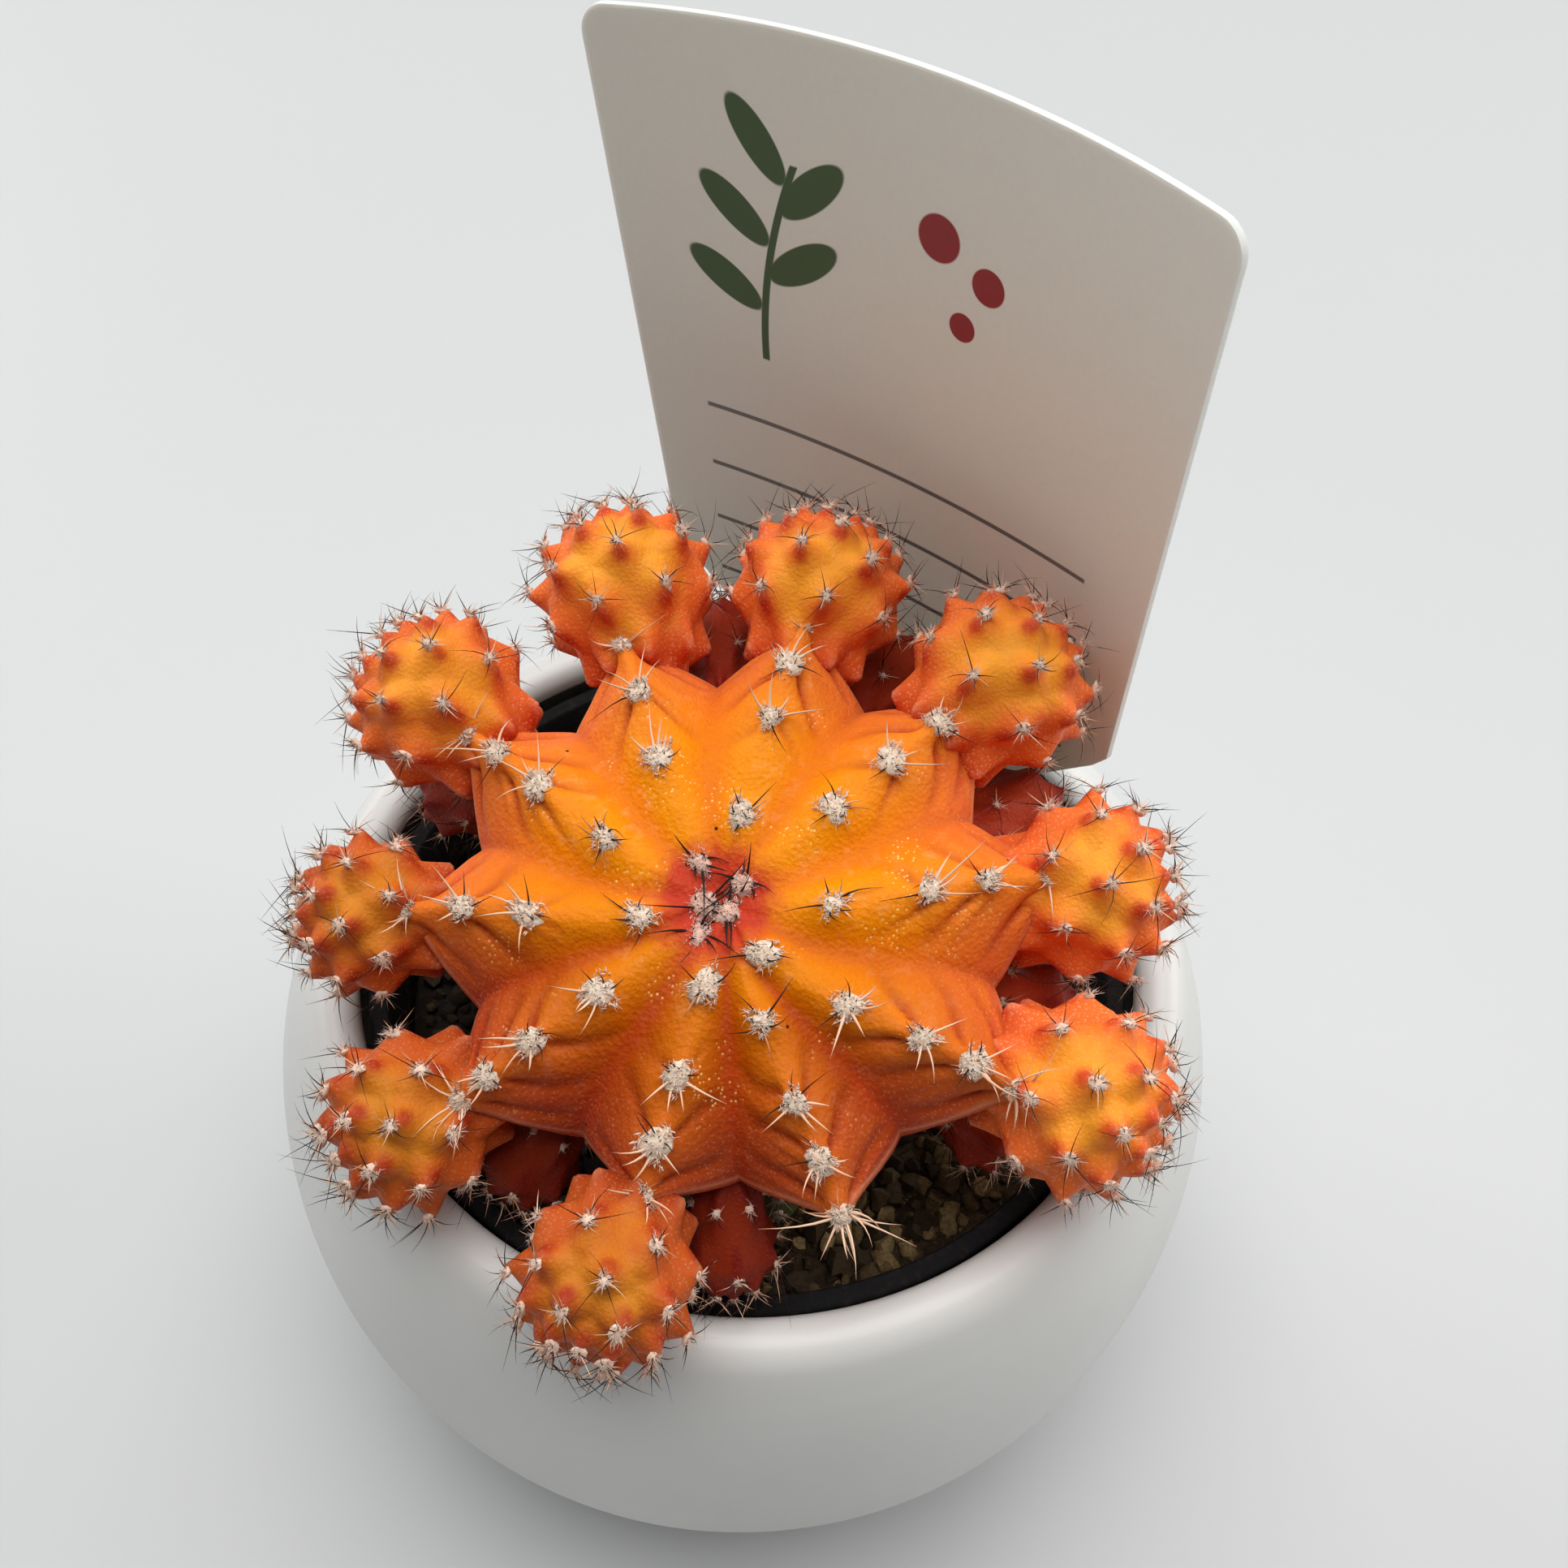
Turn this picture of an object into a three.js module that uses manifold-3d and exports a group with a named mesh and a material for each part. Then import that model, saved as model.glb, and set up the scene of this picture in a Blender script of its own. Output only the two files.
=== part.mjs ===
// A potted moon cactus: an orange grafted head with a ring of offsets, on a short green stock.
// It grows in a black nursery pot that stands in a white, ball-shaped cover pot, with a plant label.
// Millimetres, +Z up. The origin is the centre of the cover pot's foot, and -Y is the front.

import * as THREE from "three";
import { mergeVertices } from "three/addons/utils/BufferGeometryUtils.js";
import Module from "manifold-3d";

const wasm = await Module();
wasm.setup();

// Driving dimensions

const GAP = 0.3;
const RIM_HEIGHT = 60;

const COVER = {
  ballRadius: 45,
  ballCentre: 37,
  footRadius: 24,
  footBevel: 2,
  mouthRadius: 35,
  throatDepth: 4,
  wall: 3.7,
  floor: 5,
  sides: 44,
};

const NURSERY = {
  top: 57,
  lipRadius: 34.4,
  lipDepth: 3,
  topRadius: 33.6,
  heel: 10,
  heelRadius: 29.6,
  footRadius: 25.4,
  wall: 0.9,
  sides: 36,
};

const SOIL = {
  top: 48,
  rings: 7,
  sides: 36,
  bump: 0.8,
  seed: 11,
  clearBelowSpines: 2,
};

const STOCK = {
  foot: new THREE.Vector3(-0.5, -9, 26),
  ribs: 3,
  ribTurn: -72,
  ribRadius: 15.5,
  valleyRadius: 8.6,
  topRadius: 8.2,
  footRadius: 6,
  columns: 30,
  rows: 8,
  areoles: [0.64, 0.8],
  areoleRadius: 0.9,
  spineLength: 2.2,
  spineTurns: [-0.6, 0, 0.6],
};

// The head's own frame has its origin at the middle of the rib tips, with +Z along its axis.
const HEAD = {
  centre: new THREE.Vector3(-1.7, -10.9, RIM_HEIGHT + 20),
  tiltForward: 16.5,
  tiltSide: -3.3,
  tipRadius: 24.6,
  columnsPerRib: 8,
  rows: 18,
  base: -12,
};

// Crest and valley of a rib, from the apex over the tip to the graft: distance from the axis, height.
const CREST = [
  [0, 2.2], [4, 2.9], [9, 3.1], [14, 2.7], [18.5, 1.9], [22, 0.8], [HEAD.tipRadius, -0.7],
  [24, -3.2], [21.2, -6], [17, -9], [12.5, -11.2], [8.2, HEAD.base], [0, HEAD.base],
];
const VALLEY = [
  [0, 2.2], [4.2, 2.7], [8.6, 2.3], [12.8, 1.4], [16.4, -0.2], [19, -2.4], [20.5, -4.8],
  [20.6, -6.9], [19.2, -9], [16.3, -10.6], [12.6, -11.6], [8.1, HEAD.base], [0, HEAD.base],
];
const TIP_SHARE = 0.5;

// The ribs, clockwise: the turn and reach of each tip, the angle by which the rib's start leans
// round the axis, and how far from the axis its areoles sit.
const RIBS = [
  { turn: 114, reach: 24, lean: 14, areoles: [12, 18.2, 23.7] },
  { turn: 78, reach: 24.6, lean: 2, areoles: [6.2, 14.6, 19.9, 24.4] },
  { turn: 43, reach: 25.4, lean: -9, areoles: [10.6, 16.6, 22, 25.2] },
  { turn: 7, reach: 25, lean: -27, areoles: [8.3, 15.5, 19.9, 24.7] },
  { turn: -31, reach: 25.8, lean: -39, areoles: [5.7, 12.6, 18.1, 22.2, 25.6] },
  { turn: -67, reach: 24.6, lean: -11, areoles: [10.2, 16.3, 20.6, 24.4] },
  { turn: -102, reach: 22.6, lean: 11, areoles: [7.2, 13.9, 18.7, 22.4] },
  { turn: -140, reach: 24.5, lean: 9, areoles: [11.6, 17.6, 21.6, 24.3] },
  { turn: -177, reach: 24.6, lean: 30, areoles: [6.4, 14.6, 19.7, 24.4] },
  { turn: -212, reach: 25.5, lean: 25, areoles: [9.9, 16.9, 21.7, 25.3] },
];
const AREOLE = { radius: 1.25, height: 0.8, spines: 6, spread: 58, spineRadius: 0.2 };
const TIP_SPINE = { length: 4.8, lift: 0.75 };
const RIB_SPINE = { length: 3.4, lift: 0.5 };
// The young areoles crowded at the apex: turn and distance from the axis.
const APEX_AREOLES = [[128, 3.2], [29, 1.7], [-147, 1.6], [-76, 1.5], [-117, 3.5]];
const APEX_AREOLE_RADIUS = 0.85;
const HEAD_SPINE_ROOM = 1;

// The offsets round the head: turn about its axis, reach from it, height and radius.
const LARGE_OFFSETS = [
  { name: "offset_back_left", turn: 110, reach: 30.1, height: -3.2, radius: 7.1 },
  { name: "offset_back", turn: 78, reach: 29.6, height: -3.8, radius: 6.9 },
  { name: "offset_back_right", turn: 44, reach: 29.4, height: -2.6, radius: 7.1 },
  { name: "offset_right", turn: 7.5, reach: 28.7, height: -5, radius: 6.9 },
  { name: "offset_front_right", turn: -25, reach: 30.2, height: -4.8, radius: 7 },
  { name: "offset_front", turn: -104.6, reach: 28.4, height: -3, radius: 6.2 },
  { name: "offset_front_left", turn: -144.6, reach: 28.7, height: -4.5, radius: 6.3 },
  { name: "offset_left", turn: -178.8, reach: 28.5, height: -4.3, radius: 5.8 },
  { name: "offset_left_back", turn: 144.6, reach: 30.8, height: -3.7, radius: 6.9 },
];
const SMALL_OFFSETS = [
  { name: "offset_low_front_left", turn: -131, reach: 23.8, height: -13.5, radius: 3.9 },
  { name: "offset_low_front", turn: -88, reach: 24.2, height: -11.5, radius: 3.8 },
  { name: "offset_low_right", turn: 28, reach: 26.6, height: -14, radius: 4.6 },
  { name: "offset_low_right_middle", turn: -8, reach: 24.6, height: -14, radius: 3.8 },
  { name: "offset_low_back", turn: 96, reach: 28.6, height: -14.2, radius: 4.4 },
  { name: "offset_low_back_right", turn: 65, reach: 28.6, height: -15, radius: 4.5 },
  { name: "offset_low_left_back", turn: 151.5, reach: 28.5, height: -15, radius: 3.6 },
  { name: "offset_low_front_right", turn: -33, reach: 25, height: -15, radius: 3.4 },
];
// An offset is flattened towards its tip and drawn out to a narrower foot, in units of its radius.
// The large ones point up and outwards, and the small ones hang from the head's underside.
const LARGE_FORM = {
  columns: 16, rows: 7, tubercle: 1.3, spines: 12, spineLength: 2.4, spineRadius: 0.2,
  tipStretch: 0.88, footStretch: 1.45, footNarrowing: 0.3, rise: 14, colour: 0xe2702c,
};
const SMALL_FORM = {
  columns: 14, rows: 6, tubercle: 0.8, spines: 6, spineLength: 1.8, spineRadius: 0.2,
  tipStretch: 0.9, footStretch: 2.6, footNarrowing: 0.54, rise: -40, colour: 0xb64a26,
};
const OFFSETS = [
  ...LARGE_OFFSETS.map((spec) => ({ ...spec, form: LARGE_FORM })),
  ...SMALL_OFFSETS.map((spec) => ({ ...spec, form: SMALL_FORM })),
];
const OFFSET_SPINE_ROOM = 1.7;

// The label's own frame has its origin on the rim's plane, with +X across the sheet and +Z up it.
const LABEL = {
  place: new THREE.Vector3(12.6, 25.7, RIM_HEIGHT),
  azimuth: 53.5,
  roll: -5.6,
  thickness: 0.6,
  bendRadius: 119,
  halfWidth: 24.3,
  flare: 0.0725,
  top: 65.6,
  arch: 0.002,
  corner: 2.4,
  clearance: 1.5,
};
// The lower edge from the stake's point out to the shoulder: share of the half width, height.
const LABEL_LOWER_EDGE = [
  [0, -17.5], [0.05, -17], [0.09, -15], [0.13, -10], [0.5, -1.6], [0.95, 11], [1, 13],
];
const LABEL_COLUMNS = [0, 0.05, 0.09, 0.13, 0.26, 0.38, 0.5, 0.62, 0.74, 0.84, 0.9, 0.95, 0.985, 1];
const STAKE_SLOT = { halfWidth: 3.5, from: -18, to: -6 };

// Small helpers

const radians = THREE.MathUtils.degToRad;
const smoothstep = THREE.MathUtils.smoothstep;
const AXIS_Y = new THREE.Vector3(0, 1, 0);
const AXIS_Z = new THREE.Vector3(0, 0, 1);

/** Gives a repeatable stream of numbers from 0 to 1. */
function makeRandom(seed) {
  const range = 4294967296;
  let state = seed;
  return () => {
    state = (state * 1664525 + 1013904223) % range;
    return state / range;
  };
}

/** Welds a geometry's shared corners and drops triangles that have no area. */
function weld(geometry) {
  geometry.deleteAttribute("normal");
  geometry.deleteAttribute("uv");
  const merged = mergeVertices(geometry, 1e-4);
  const corners = merged.getIndex().array;
  const kept = [];
  for (let i = 0; i < corners.length; i += 3) {
    const [a, b, c] = [corners[i], corners[i + 1], corners[i + 2]];
    if (a !== b && b !== c && c !== a) {
      kept.push(a, b, c);
    }
  }
  merged.setIndex(kept);
  return merged;
}

/** Turns a closed geometry into a solid that can be joined and cut. */
function toSolid(geometry) {
  const merged = weld(geometry);
  return new wasm.Manifold(new wasm.Mesh({
    numProp: 3,
    vertProperties: new Float32Array(merged.getAttribute("position").array),
    triVerts: new Uint32Array(merged.getIndex().array),
  }));
}

/** Turns a solid back into a geometry. */
function toGeometry(solid) {
  const mesh = solid.getMesh();
  const geometry = new THREE.BufferGeometry();
  geometry.setAttribute("position", new THREE.BufferAttribute(new Float32Array(mesh.vertProperties), 3));
  geometry.setIndex(Array.from(mesh.triVerts));
  geometry.computeVertexNormals();
  return geometry;
}

/** Joins a list of solids in pairs, so that each join stays small. */
function joinAll(solids) {
  if (solids.length === 1) {
    return solids[0];
  }
  const half = Math.ceil(solids.length / 2);
  return joinAll(solids.slice(0, half)).add(joinAll(solids.slice(half)));
}

/** Keeps the largest body of a solid, without any loose scrap that a cut has left. */
function largestBody(solid) {
  return solid.decompose().reduce((best, body) => (body.volume() > best.volume() ? body : best));
}

/** Moves every corner of a geometry by a rule that changes the point in place. */
function reshape(geometry, rule) {
  const position = geometry.getAttribute("position");
  const point = new THREE.Vector3();
  for (let i = 0; i < position.count; i += 1) {
    point.fromBufferAttribute(position, i);
    rule(point);
    position.setXYZ(i, point.x, point.y, point.z);
  }
  return geometry;
}

/** Turns a profile of [radius, height] points round the Z axis. */
function turned(profile, sides) {
  const points = profile.map(([radius, height]) => new THREE.Vector2(radius, height));
  return weld(new THREE.LatheGeometry(points, sides).rotateX(Math.PI / 2));
}

/** Points of an arc in a profile, between two angles in degrees above the horizontal. */
function arc(centreRadius, centreHeight, radius, from, to, steps) {
  return Array.from({ length: steps + 1 }, (unused, i) => {
    const angle = radians(from + ((to - from) * i) / steps);
    return [centreRadius + radius * Math.cos(angle), centreHeight + radius * Math.sin(angle)];
  });
}

/** The value at a place on a line of [place, value] points, with the places in rising order. */
function onLine(line, place) {
  const next = line.findIndex(([at]) => at >= place);
  const i = next < 0 ? line.length - 1 : Math.max(1, next);
  const [fromPlace, fromValue] = line[i - 1];
  const [toPlace, toValue] = line[i];
  return fromValue + ((toValue - fromValue) * (place - fromPlace)) / (toPlace - fromPlace);
}

/** Places a geometry as a named mesh with its own material. */
function part(name, geometry, color, roughness) {
  const material = new THREE.MeshStandardMaterial({ color, roughness, metalness: 0 });
  const mesh = new THREE.Mesh(geometry, material);
  mesh.name = name;
  return mesh;
}

/** A spine: a slim three-sided cone, sunk a little at its root. */
function spine(root, direction, length, radius) {
  const sunk = 0.4;
  const cone = new THREE.ConeGeometry(radius, length + sunk, 3, 1);
  cone.translate(0, (length - sunk) / 2, 0);
  cone.applyQuaternion(new THREE.Quaternion().setFromUnitVectors(AXIS_Y, direction));
  cone.translate(root.x, root.y, root.z);
  return toSolid(cone);
}

/** A woolly cushion: a low, few-sided dome sunk into the skin. */
function tuft(root, outward, radius, height) {
  const dome = new THREE.SphereGeometry(1, 6, 2);
  dome.scale(radius, height, radius);
  dome.applyQuaternion(new THREE.Quaternion().setFromUnitVectors(AXIS_Y, outward));
  dome.translate(root.x, root.y, root.z);
  return toSolid(dome);
}

// Cover pot

/** The angle above the horizontal at which an arc round the ball's centre reaches a height. */
function ballAngle(height, radius) {
  return THREE.MathUtils.radToDeg(Math.asin((height - COVER.ballCentre) / radius));
}

function coverPot() {
  const { ballRadius, ballCentre, footRadius, footBevel, mouthRadius, throatDepth, wall, floor } = COVER;
  const lip = wall / 2;
  const lipHeight = RIM_HEIGHT - lip;
  const innerRadius = ballRadius - wall;
  const throat = lipHeight - throatDepth;
  const outerAngles = [ballAngle(footBevel, ballRadius), ballAngle(lipHeight - 1, ballRadius)];
  return turned([
    [0, 0],
    [footRadius, 0],
    ...arc(0, ballCentre, ballRadius, ...outerAngles, 7),
    ...arc(mouthRadius + lip, lipHeight, lip, 0, 180, 4),
    ...arc(0, ballCentre, innerRadius, ballAngle(throat, innerRadius), ballAngle(floor, innerRadius), 4),
    [0, floor],
  ], COVER.sides);
}

// Nursery pot

const NURSERY_FOOT = COVER.floor + GAP;

/** The nursery pot's outer radius at a height, less an inset. */
function nurseryRadius(height, inset = 0) {
  const { heel, heelRadius, footRadius, top, topRadius } = NURSERY;
  return onLine([[NURSERY_FOOT, footRadius], [heel, heelRadius], [top, topRadius]], height) - inset;
}

function nurseryPot() {
  const { top, lipRadius, lipDepth, heel, wall, sides } = NURSERY;
  const innerFloor = NURSERY_FOOT + wall;
  return turned([
    [0, NURSERY_FOOT],
    [nurseryRadius(NURSERY_FOOT), NURSERY_FOOT],
    [nurseryRadius(heel), heel],
    [nurseryRadius(top - lipDepth), top - lipDepth],
    [lipRadius, top - lipDepth],
    [lipRadius, top],
    [nurseryRadius(top, wall), top],
    [nurseryRadius(heel, wall), heel],
    [nurseryRadius(innerFloor, wall), innerFloor],
    [0, innerFloor],
  ], sides);
}

// Frames of the head and the label

const headMatrix = new THREE.Matrix4().compose(
  HEAD.centre,
  new THREE.Quaternion().setFromEuler(
    new THREE.Euler(radians(HEAD.tiltForward), radians(HEAD.tiltSide), 0, "YXZ"),
  ),
  new THREE.Vector3(1, 1, 1),
);
const labelMatrix = new THREE.Matrix4().compose(
  LABEL.place,
  new THREE.Quaternion().setFromEuler(
    new THREE.Euler(0, radians(LABEL.roll), radians(LABEL.azimuth - 90), "ZYX"),
  ),
  new THREE.Vector3(1, 1, 1),
);
const worldToLabel = labelMatrix.clone().invert();

// Head

const crestCurve = new THREE.SplineCurve(CREST.map(([x, y]) => new THREE.Vector2(x, y)));
const valleyCurve = new THREE.SplineCurve(VALLEY.map(([x, y]) => new THREE.Vector2(x, y)));

/** The turn, lean and reach at a phase, which counts the ribs clockwise from the first. */
function ribAt(phase) {
  const whole = Math.floor(phase);
  const share = phase - whole;
  const here = RIBS[whole % RIBS.length];
  const next = RIBS[(whole + 1) % RIBS.length];
  const nextTurn = next.turn > here.turn ? next.turn - 360 : next.turn;
  return {
    turn: here.turn + (nextTurn - here.turn) * share,
    lean: here.lean + (next.lean - here.lean) * share,
    reach: here.reach + (next.reach - here.reach) * share,
  };
}

/** The phase at an angle round the axis, by the turns of the rib tips. */
function phaseAt(angle) {
  const first = RIBS[0].turn;
  const clockwise = THREE.MathUtils.euclideanModulo(first - THREE.MathUtils.radToDeg(angle), 360);
  const tips = RIBS.map(({ turn }, i) => [first - turn, i]);
  return onLine([...tips, [360, RIBS.length]], clockwise);
}

/** How far a rib of a given reach is stretched outwards, at a share of the way from the apex. */
function ribStretch(share, reach) {
  return 1 + (reach / HEAD.tipRadius - 1) * smoothstep(share, 0, TIP_SHARE);
}

/** A point on the head's skin, at a share of the way from apex to graft and a phase round the ribs. */
function headSkin(share, phase, grow = 0) {
  const crest = crestCurve.getPoint(share);
  const valley = valleyCurve.getPoint(share);
  const away = 2 * Math.abs(phase - Math.round(phase));
  const round = 0.5 + 0.5 * Math.cos(Math.PI * away);
  const sharp = 1 - away ** 0.85;
  const sharpness = smoothstep(share, 0.12, 0.42);
  const onCrest = round + (sharp - round) * sharpness;
  const { turn, lean, reach } = ribAt(phase);
  const inward = share < TIP_SHARE ? (1 - crest.x / HEAD.tipRadius) ** 2 : 0;
  const angle = radians(turn + lean * inward);
  const radius = (valley.x + (crest.x - valley.x) * onCrest) * ribStretch(share, reach) + grow;
  const height = valley.y + (crest.y - valley.y) * onCrest;
  const below = smoothstep(share, TIP_SHARE, TIP_SHARE + 0.1);
  return new THREE.Vector3(
    radius * Math.cos(angle),
    radius * Math.sin(angle),
    Math.max(HEAD.base, height) + grow * (1 - 2 * below),
  );
}

/** The head without its areoles, or the same form grown outwards to cut its neighbours. */
function headBody(grow = 0) {
  const ball = new THREE.SphereGeometry(1, RIBS.length * HEAD.columnsPerRib, HEAD.rows);
  ball.rotateX(Math.PI / 2);
  return toSolid(reshape(weld(ball), (point) => {
    const onAxis = Math.hypot(point.x, point.y) < 1e-3;
    const share = Math.acos(THREE.MathUtils.clamp(point.z, -1, 1)) / Math.PI;
    const turns = 1 - Math.atan2(point.y, point.x) / (2 * Math.PI);
    point.copy(headSkin(share, (turns % 1) * RIBS.length, grow));
    if (onAxis) {
      point.set(0, 0, point.z);
    }
  }));
}

/** The share along a rib's crest, above its tip, at which it lies a given distance from the axis. */
function crestShare(reach, distance) {
  let low = 0;
  let high = TIP_SHARE;
  for (let i = 0; i < 30; i += 1) {
    const middle = (low + high) / 2;
    if (crestCurve.getPoint(middle).x * ribStretch(middle, reach) < distance) {
      low = middle;
    } else {
      high = middle;
    }
  }
  return low;
}

/** The places of a rib's areoles, each with its directions down the rib, beside it and outwards. */
function ribAreoles(rib) {
  const { reach, areoles } = RIBS[rib];
  return areoles.map((distance, i) => {
    const share = crestShare(reach, distance);
    const root = headSkin(share, rib);
    const downRib = headSkin(share + 0.02, rib).sub(root).normalize();
    const sideways = new THREE.Vector3(-root.y, root.x, 0).normalize();
    const outward = new THREE.Vector3().crossVectors(downRib, sideways).normalize();
    const inward = 1 - distance / reach;
    const atTip = i === areoles.length - 1;
    return { root, downRib, sideways, outward, inward, atTip };
  });
}

const allAreoles = RIBS.flatMap((unused, rib) => ribAreoles(rib));

/** The spines of one areole, in a fan down the rib and to both sides. */
function areoleSpines({ root, downRib, sideways, outward, inward, atTip }) {
  const longest = atTip ? TIP_SPINE.length : RIB_SPINE.length - inward;
  const lift = atTip ? TIP_SPINE.lift : RIB_SPINE.lift;
  const spines = [];
  for (let i = 0; i < AREOLE.spines; i += 1) {
    const angle = radians((i - (AREOLE.spines - 1) / 2) * AREOLE.spread);
    const direction = downRib.clone().multiplyScalar(Math.cos(angle));
    direction.addScaledVector(sideways, Math.sin(angle)).addScaledVector(outward, lift).normalize();
    const length = longest * (0.8 + 0.2 * Math.cos(angle));
    if (runsClear(root, direction, length, null)) {
      spines.push(spine(root, direction, length, AREOLE.spineRadius));
    }
  }
  return spines;
}

function head() {
  const solids = [headBody()];
  for (const areole of allAreoles) {
    solids.push(tuft(areole.root, areole.outward, AREOLE.radius, AREOLE.height));
    solids.push(...areoleSpines(areole));
  }
  for (const [turn, distance] of APEX_AREOLES) {
    const root = new THREE.Vector3(distance, 0, CREST[0][1] + 0.2).applyAxisAngle(AXIS_Z, radians(turn));
    solids.push(tuft(root, AXIS_Z, APEX_AREOLE_RADIUS, APEX_AREOLE_RADIUS));
  }
  return toGeometry(joinAll(solids));
}

// Room for spines, tested in the head's own frame

/** Where an offset sits and points. */
function offsetPlace({ turn, reach, height, form }) {
  const angle = radians(turn);
  const rise = radians(form.rise);
  const around = new THREE.Vector3(Math.cos(angle), Math.sin(angle), 0);
  return {
    centre: around.clone().multiplyScalar(reach).setZ(height),
    direction: around.multiplyScalar(Math.cos(rise)).setZ(Math.sin(rise)),
  };
}

/** How far an offset is stretched along its axis, on the side of its middle that a height lies on. */
function offsetStretch({ tipStretch, footStretch }, height) {
  return height > 0 ? tipStretch : footStretch;
}

/** True where a point lies inside the head or within a margin of its skin. */
function nearHead(point, margin) {
  const reach = Math.hypot(point.x, point.y);
  const phase = phaseAt(Math.atan2(point.y, point.x));
  const step = 0.02;
  let outermost = 0;
  for (let share = step; share < 1; share += step) {
    const skin = headSkin(share, phase);
    if (Math.abs(skin.z - point.z) < margin + 0.5) {
      outermost = Math.max(outermost, Math.hypot(skin.x, skin.y) + margin);
    }
  }
  return reach < outermost;
}

/** True where a point lies inside an offset or within a margin of its skin. */
function nearOffset(point, spec, margin) {
  const { centre, direction } = offsetPlace(spec);
  const fromCentre = point.clone().sub(centre);
  const along = fromCentre.dot(direction);
  const across = Math.sqrt(Math.max(0, fromCentre.lengthSq() - along ** 2));
  const alongShare = along / (spec.radius * offsetStretch(spec.form, along) + margin);
  return alongShare ** 2 + (across / (spec.radius + margin)) ** 2 < 1;
}

/** True where a point is too near another offset, the label, the soil or a pot. */
function nearNeighbour(point, self) {
  const margin = self ? OFFSET_SPINE_ROOM : HEAD_SPINE_ROOM;
  const hitsOffset = OFFSETS.some((spec) => spec !== self && nearOffset(point, spec, margin));
  const world = point.clone().applyMatrix4(headMatrix);
  const hitsLabel = world.clone().applyMatrix4(worldToLabel).y > -LABEL.clearance;
  const hitsPot = world.z < RIM_HEIGHT + 1 && Math.hypot(world.x, world.y) > nurseryRadius(SOIL.top, 3);
  return hitsOffset || hitsLabel || hitsPot || world.z < SOIL.top + SOIL.clearBelowSpines;
}

/** True where a spine runs clear of all that isn't its own piece. */
function runsClear(root, direction, length, self) {
  return [0.35, 0.65, 1].every((share) => {
    const point = root.clone().addScaledVector(direction, length * share);
    return !nearNeighbour(point, self) && !(self && nearHead(point, 2 * GAP));
  });
}

// Offsets

/** The head and its areoles, grown by the gap that a neighbour keeps. */
function grownHead() {
  const tufts = allAreoles.map(({ root, outward }) => (
    tuft(root, outward, AREOLE.radius + 1.5 * GAP, AREOLE.height + 1.5 * GAP)
  ));
  return joinAll([headBody(GAP), ...tufts]);
}

const headCutter = grownHead();

/** An offset's egg-shaped body with tubercles in staggered rows, and the places of their tips. */
function offsetBody(spec) {
  const { columns, rows, tubercle, footNarrowing } = spec.form;
  const { centre, direction } = offsetPlace(spec);
  const turn = new THREE.Quaternion().setFromUnitVectors(AXIS_Z, direction);
  const egg = new THREE.SphereGeometry(1, columns, rows);
  egg.rotateX(Math.PI / 2);
  const tips = [];
  const shaped = reshape(weld(egg), (point) => {
    const row = Math.round((Math.acos(THREE.MathUtils.clamp(point.z, -1, 1)) / Math.PI) * rows);
    const column = Math.round((Math.atan2(point.y, point.x) / (2 * Math.PI) + 1) * columns);
    const raised = row > 0 && row < rows && (row + column) % 2 === 0;
    const outward = point.clone().applyQuaternion(turn);
    const narrowing = 1 - footNarrowing * Math.max(0, -point.z);
    point.set(point.x * narrowing, point.y * narrowing, point.z * offsetStretch(spec.form, point.z));
    point.multiplyScalar(spec.radius).applyQuaternion(turn).add(centre);
    point.addScaledVector(outward, raised ? 0.6 * tubercle : -0.4 * tubercle);
    if (raised && row < rows - 2) {
      tips.push({ root: point.clone(), outward });
    }
  });
  return { body: toSolid(shaped), tips };
}

/** One offset with its spines, shaped at its foot to the head that it grows from. */
function offset(spec) {
  const { spineLength, spineRadius } = spec.form;
  const { body, tips } = offsetBody(spec);
  const every = Math.ceil(tips.length / spec.form.spines);
  const spines = tips
    .filter((unused, i) => i % every === 0)
    .filter(({ root, outward }) => runsClear(root, outward, spineLength, spec))
    .map(({ root, outward }) => spine(root, outward, spineLength, spineRadius));
  return toGeometry(largestBody(joinAll([body, ...spines]).subtract(headCutter)));
}

// Stock

const graft = new THREE.Vector3(0, 0, HEAD.base - GAP).applyMatrix4(headMatrix);
const headAxis = AXIS_Z.clone().transformDirection(headMatrix);

/** A point on the stock's skin, at a share of the way from foot to graft and an angle round it. */
function stockSkin(share, angle, grow = 0, reach = 1) {
  const lobe = 0.5 + 0.5 * Math.cos(STOCK.ribs * (angle - radians(STOCK.ribTurn)));
  const full = STOCK.valleyRadius + (STOCK.ribRadius - STOCK.valleyRadius) * lobe ** 1.6;
  const toTop = smoothstep(share, 0.66, 1);
  const toFoot = 1 - smoothstep(share, 0, 0.4);
  const radius = full + (STOCK.topRadius - full) * toTop + (STOCK.footRadius - full) * toFoot + grow;
  const normal = AXIS_Z.clone().lerp(headAxis, smoothstep(share, 0.6, 1)).normalize();
  const point = new THREE.Vector3(Math.cos(angle), Math.sin(angle), 0).multiplyScalar(radius * reach);
  point.applyQuaternion(new THREE.Quaternion().setFromUnitVectors(AXIS_Z, normal));
  return point.add(STOCK.foot.clone().lerp(graft, share));
}

/** The stock: three blunt ribs that narrow to the graft, where its top lies along the head's base. */
function stockBody(grow = 0) {
  const column = new THREE.CylinderGeometry(1, 1, 1, STOCK.columns, STOCK.rows);
  column.rotateX(Math.PI / 2);
  return toSolid(reshape(weld(column), (point) => {
    const share = point.z + 0.5;
    const onAxis = Math.hypot(point.x, point.y) < 1e-3;
    point.copy(stockSkin(share, Math.atan2(point.y, point.x), grow, onAxis ? 0 : 1));
    if (share === 0) {
      point.z -= grow;
    }
  }));
}

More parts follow.
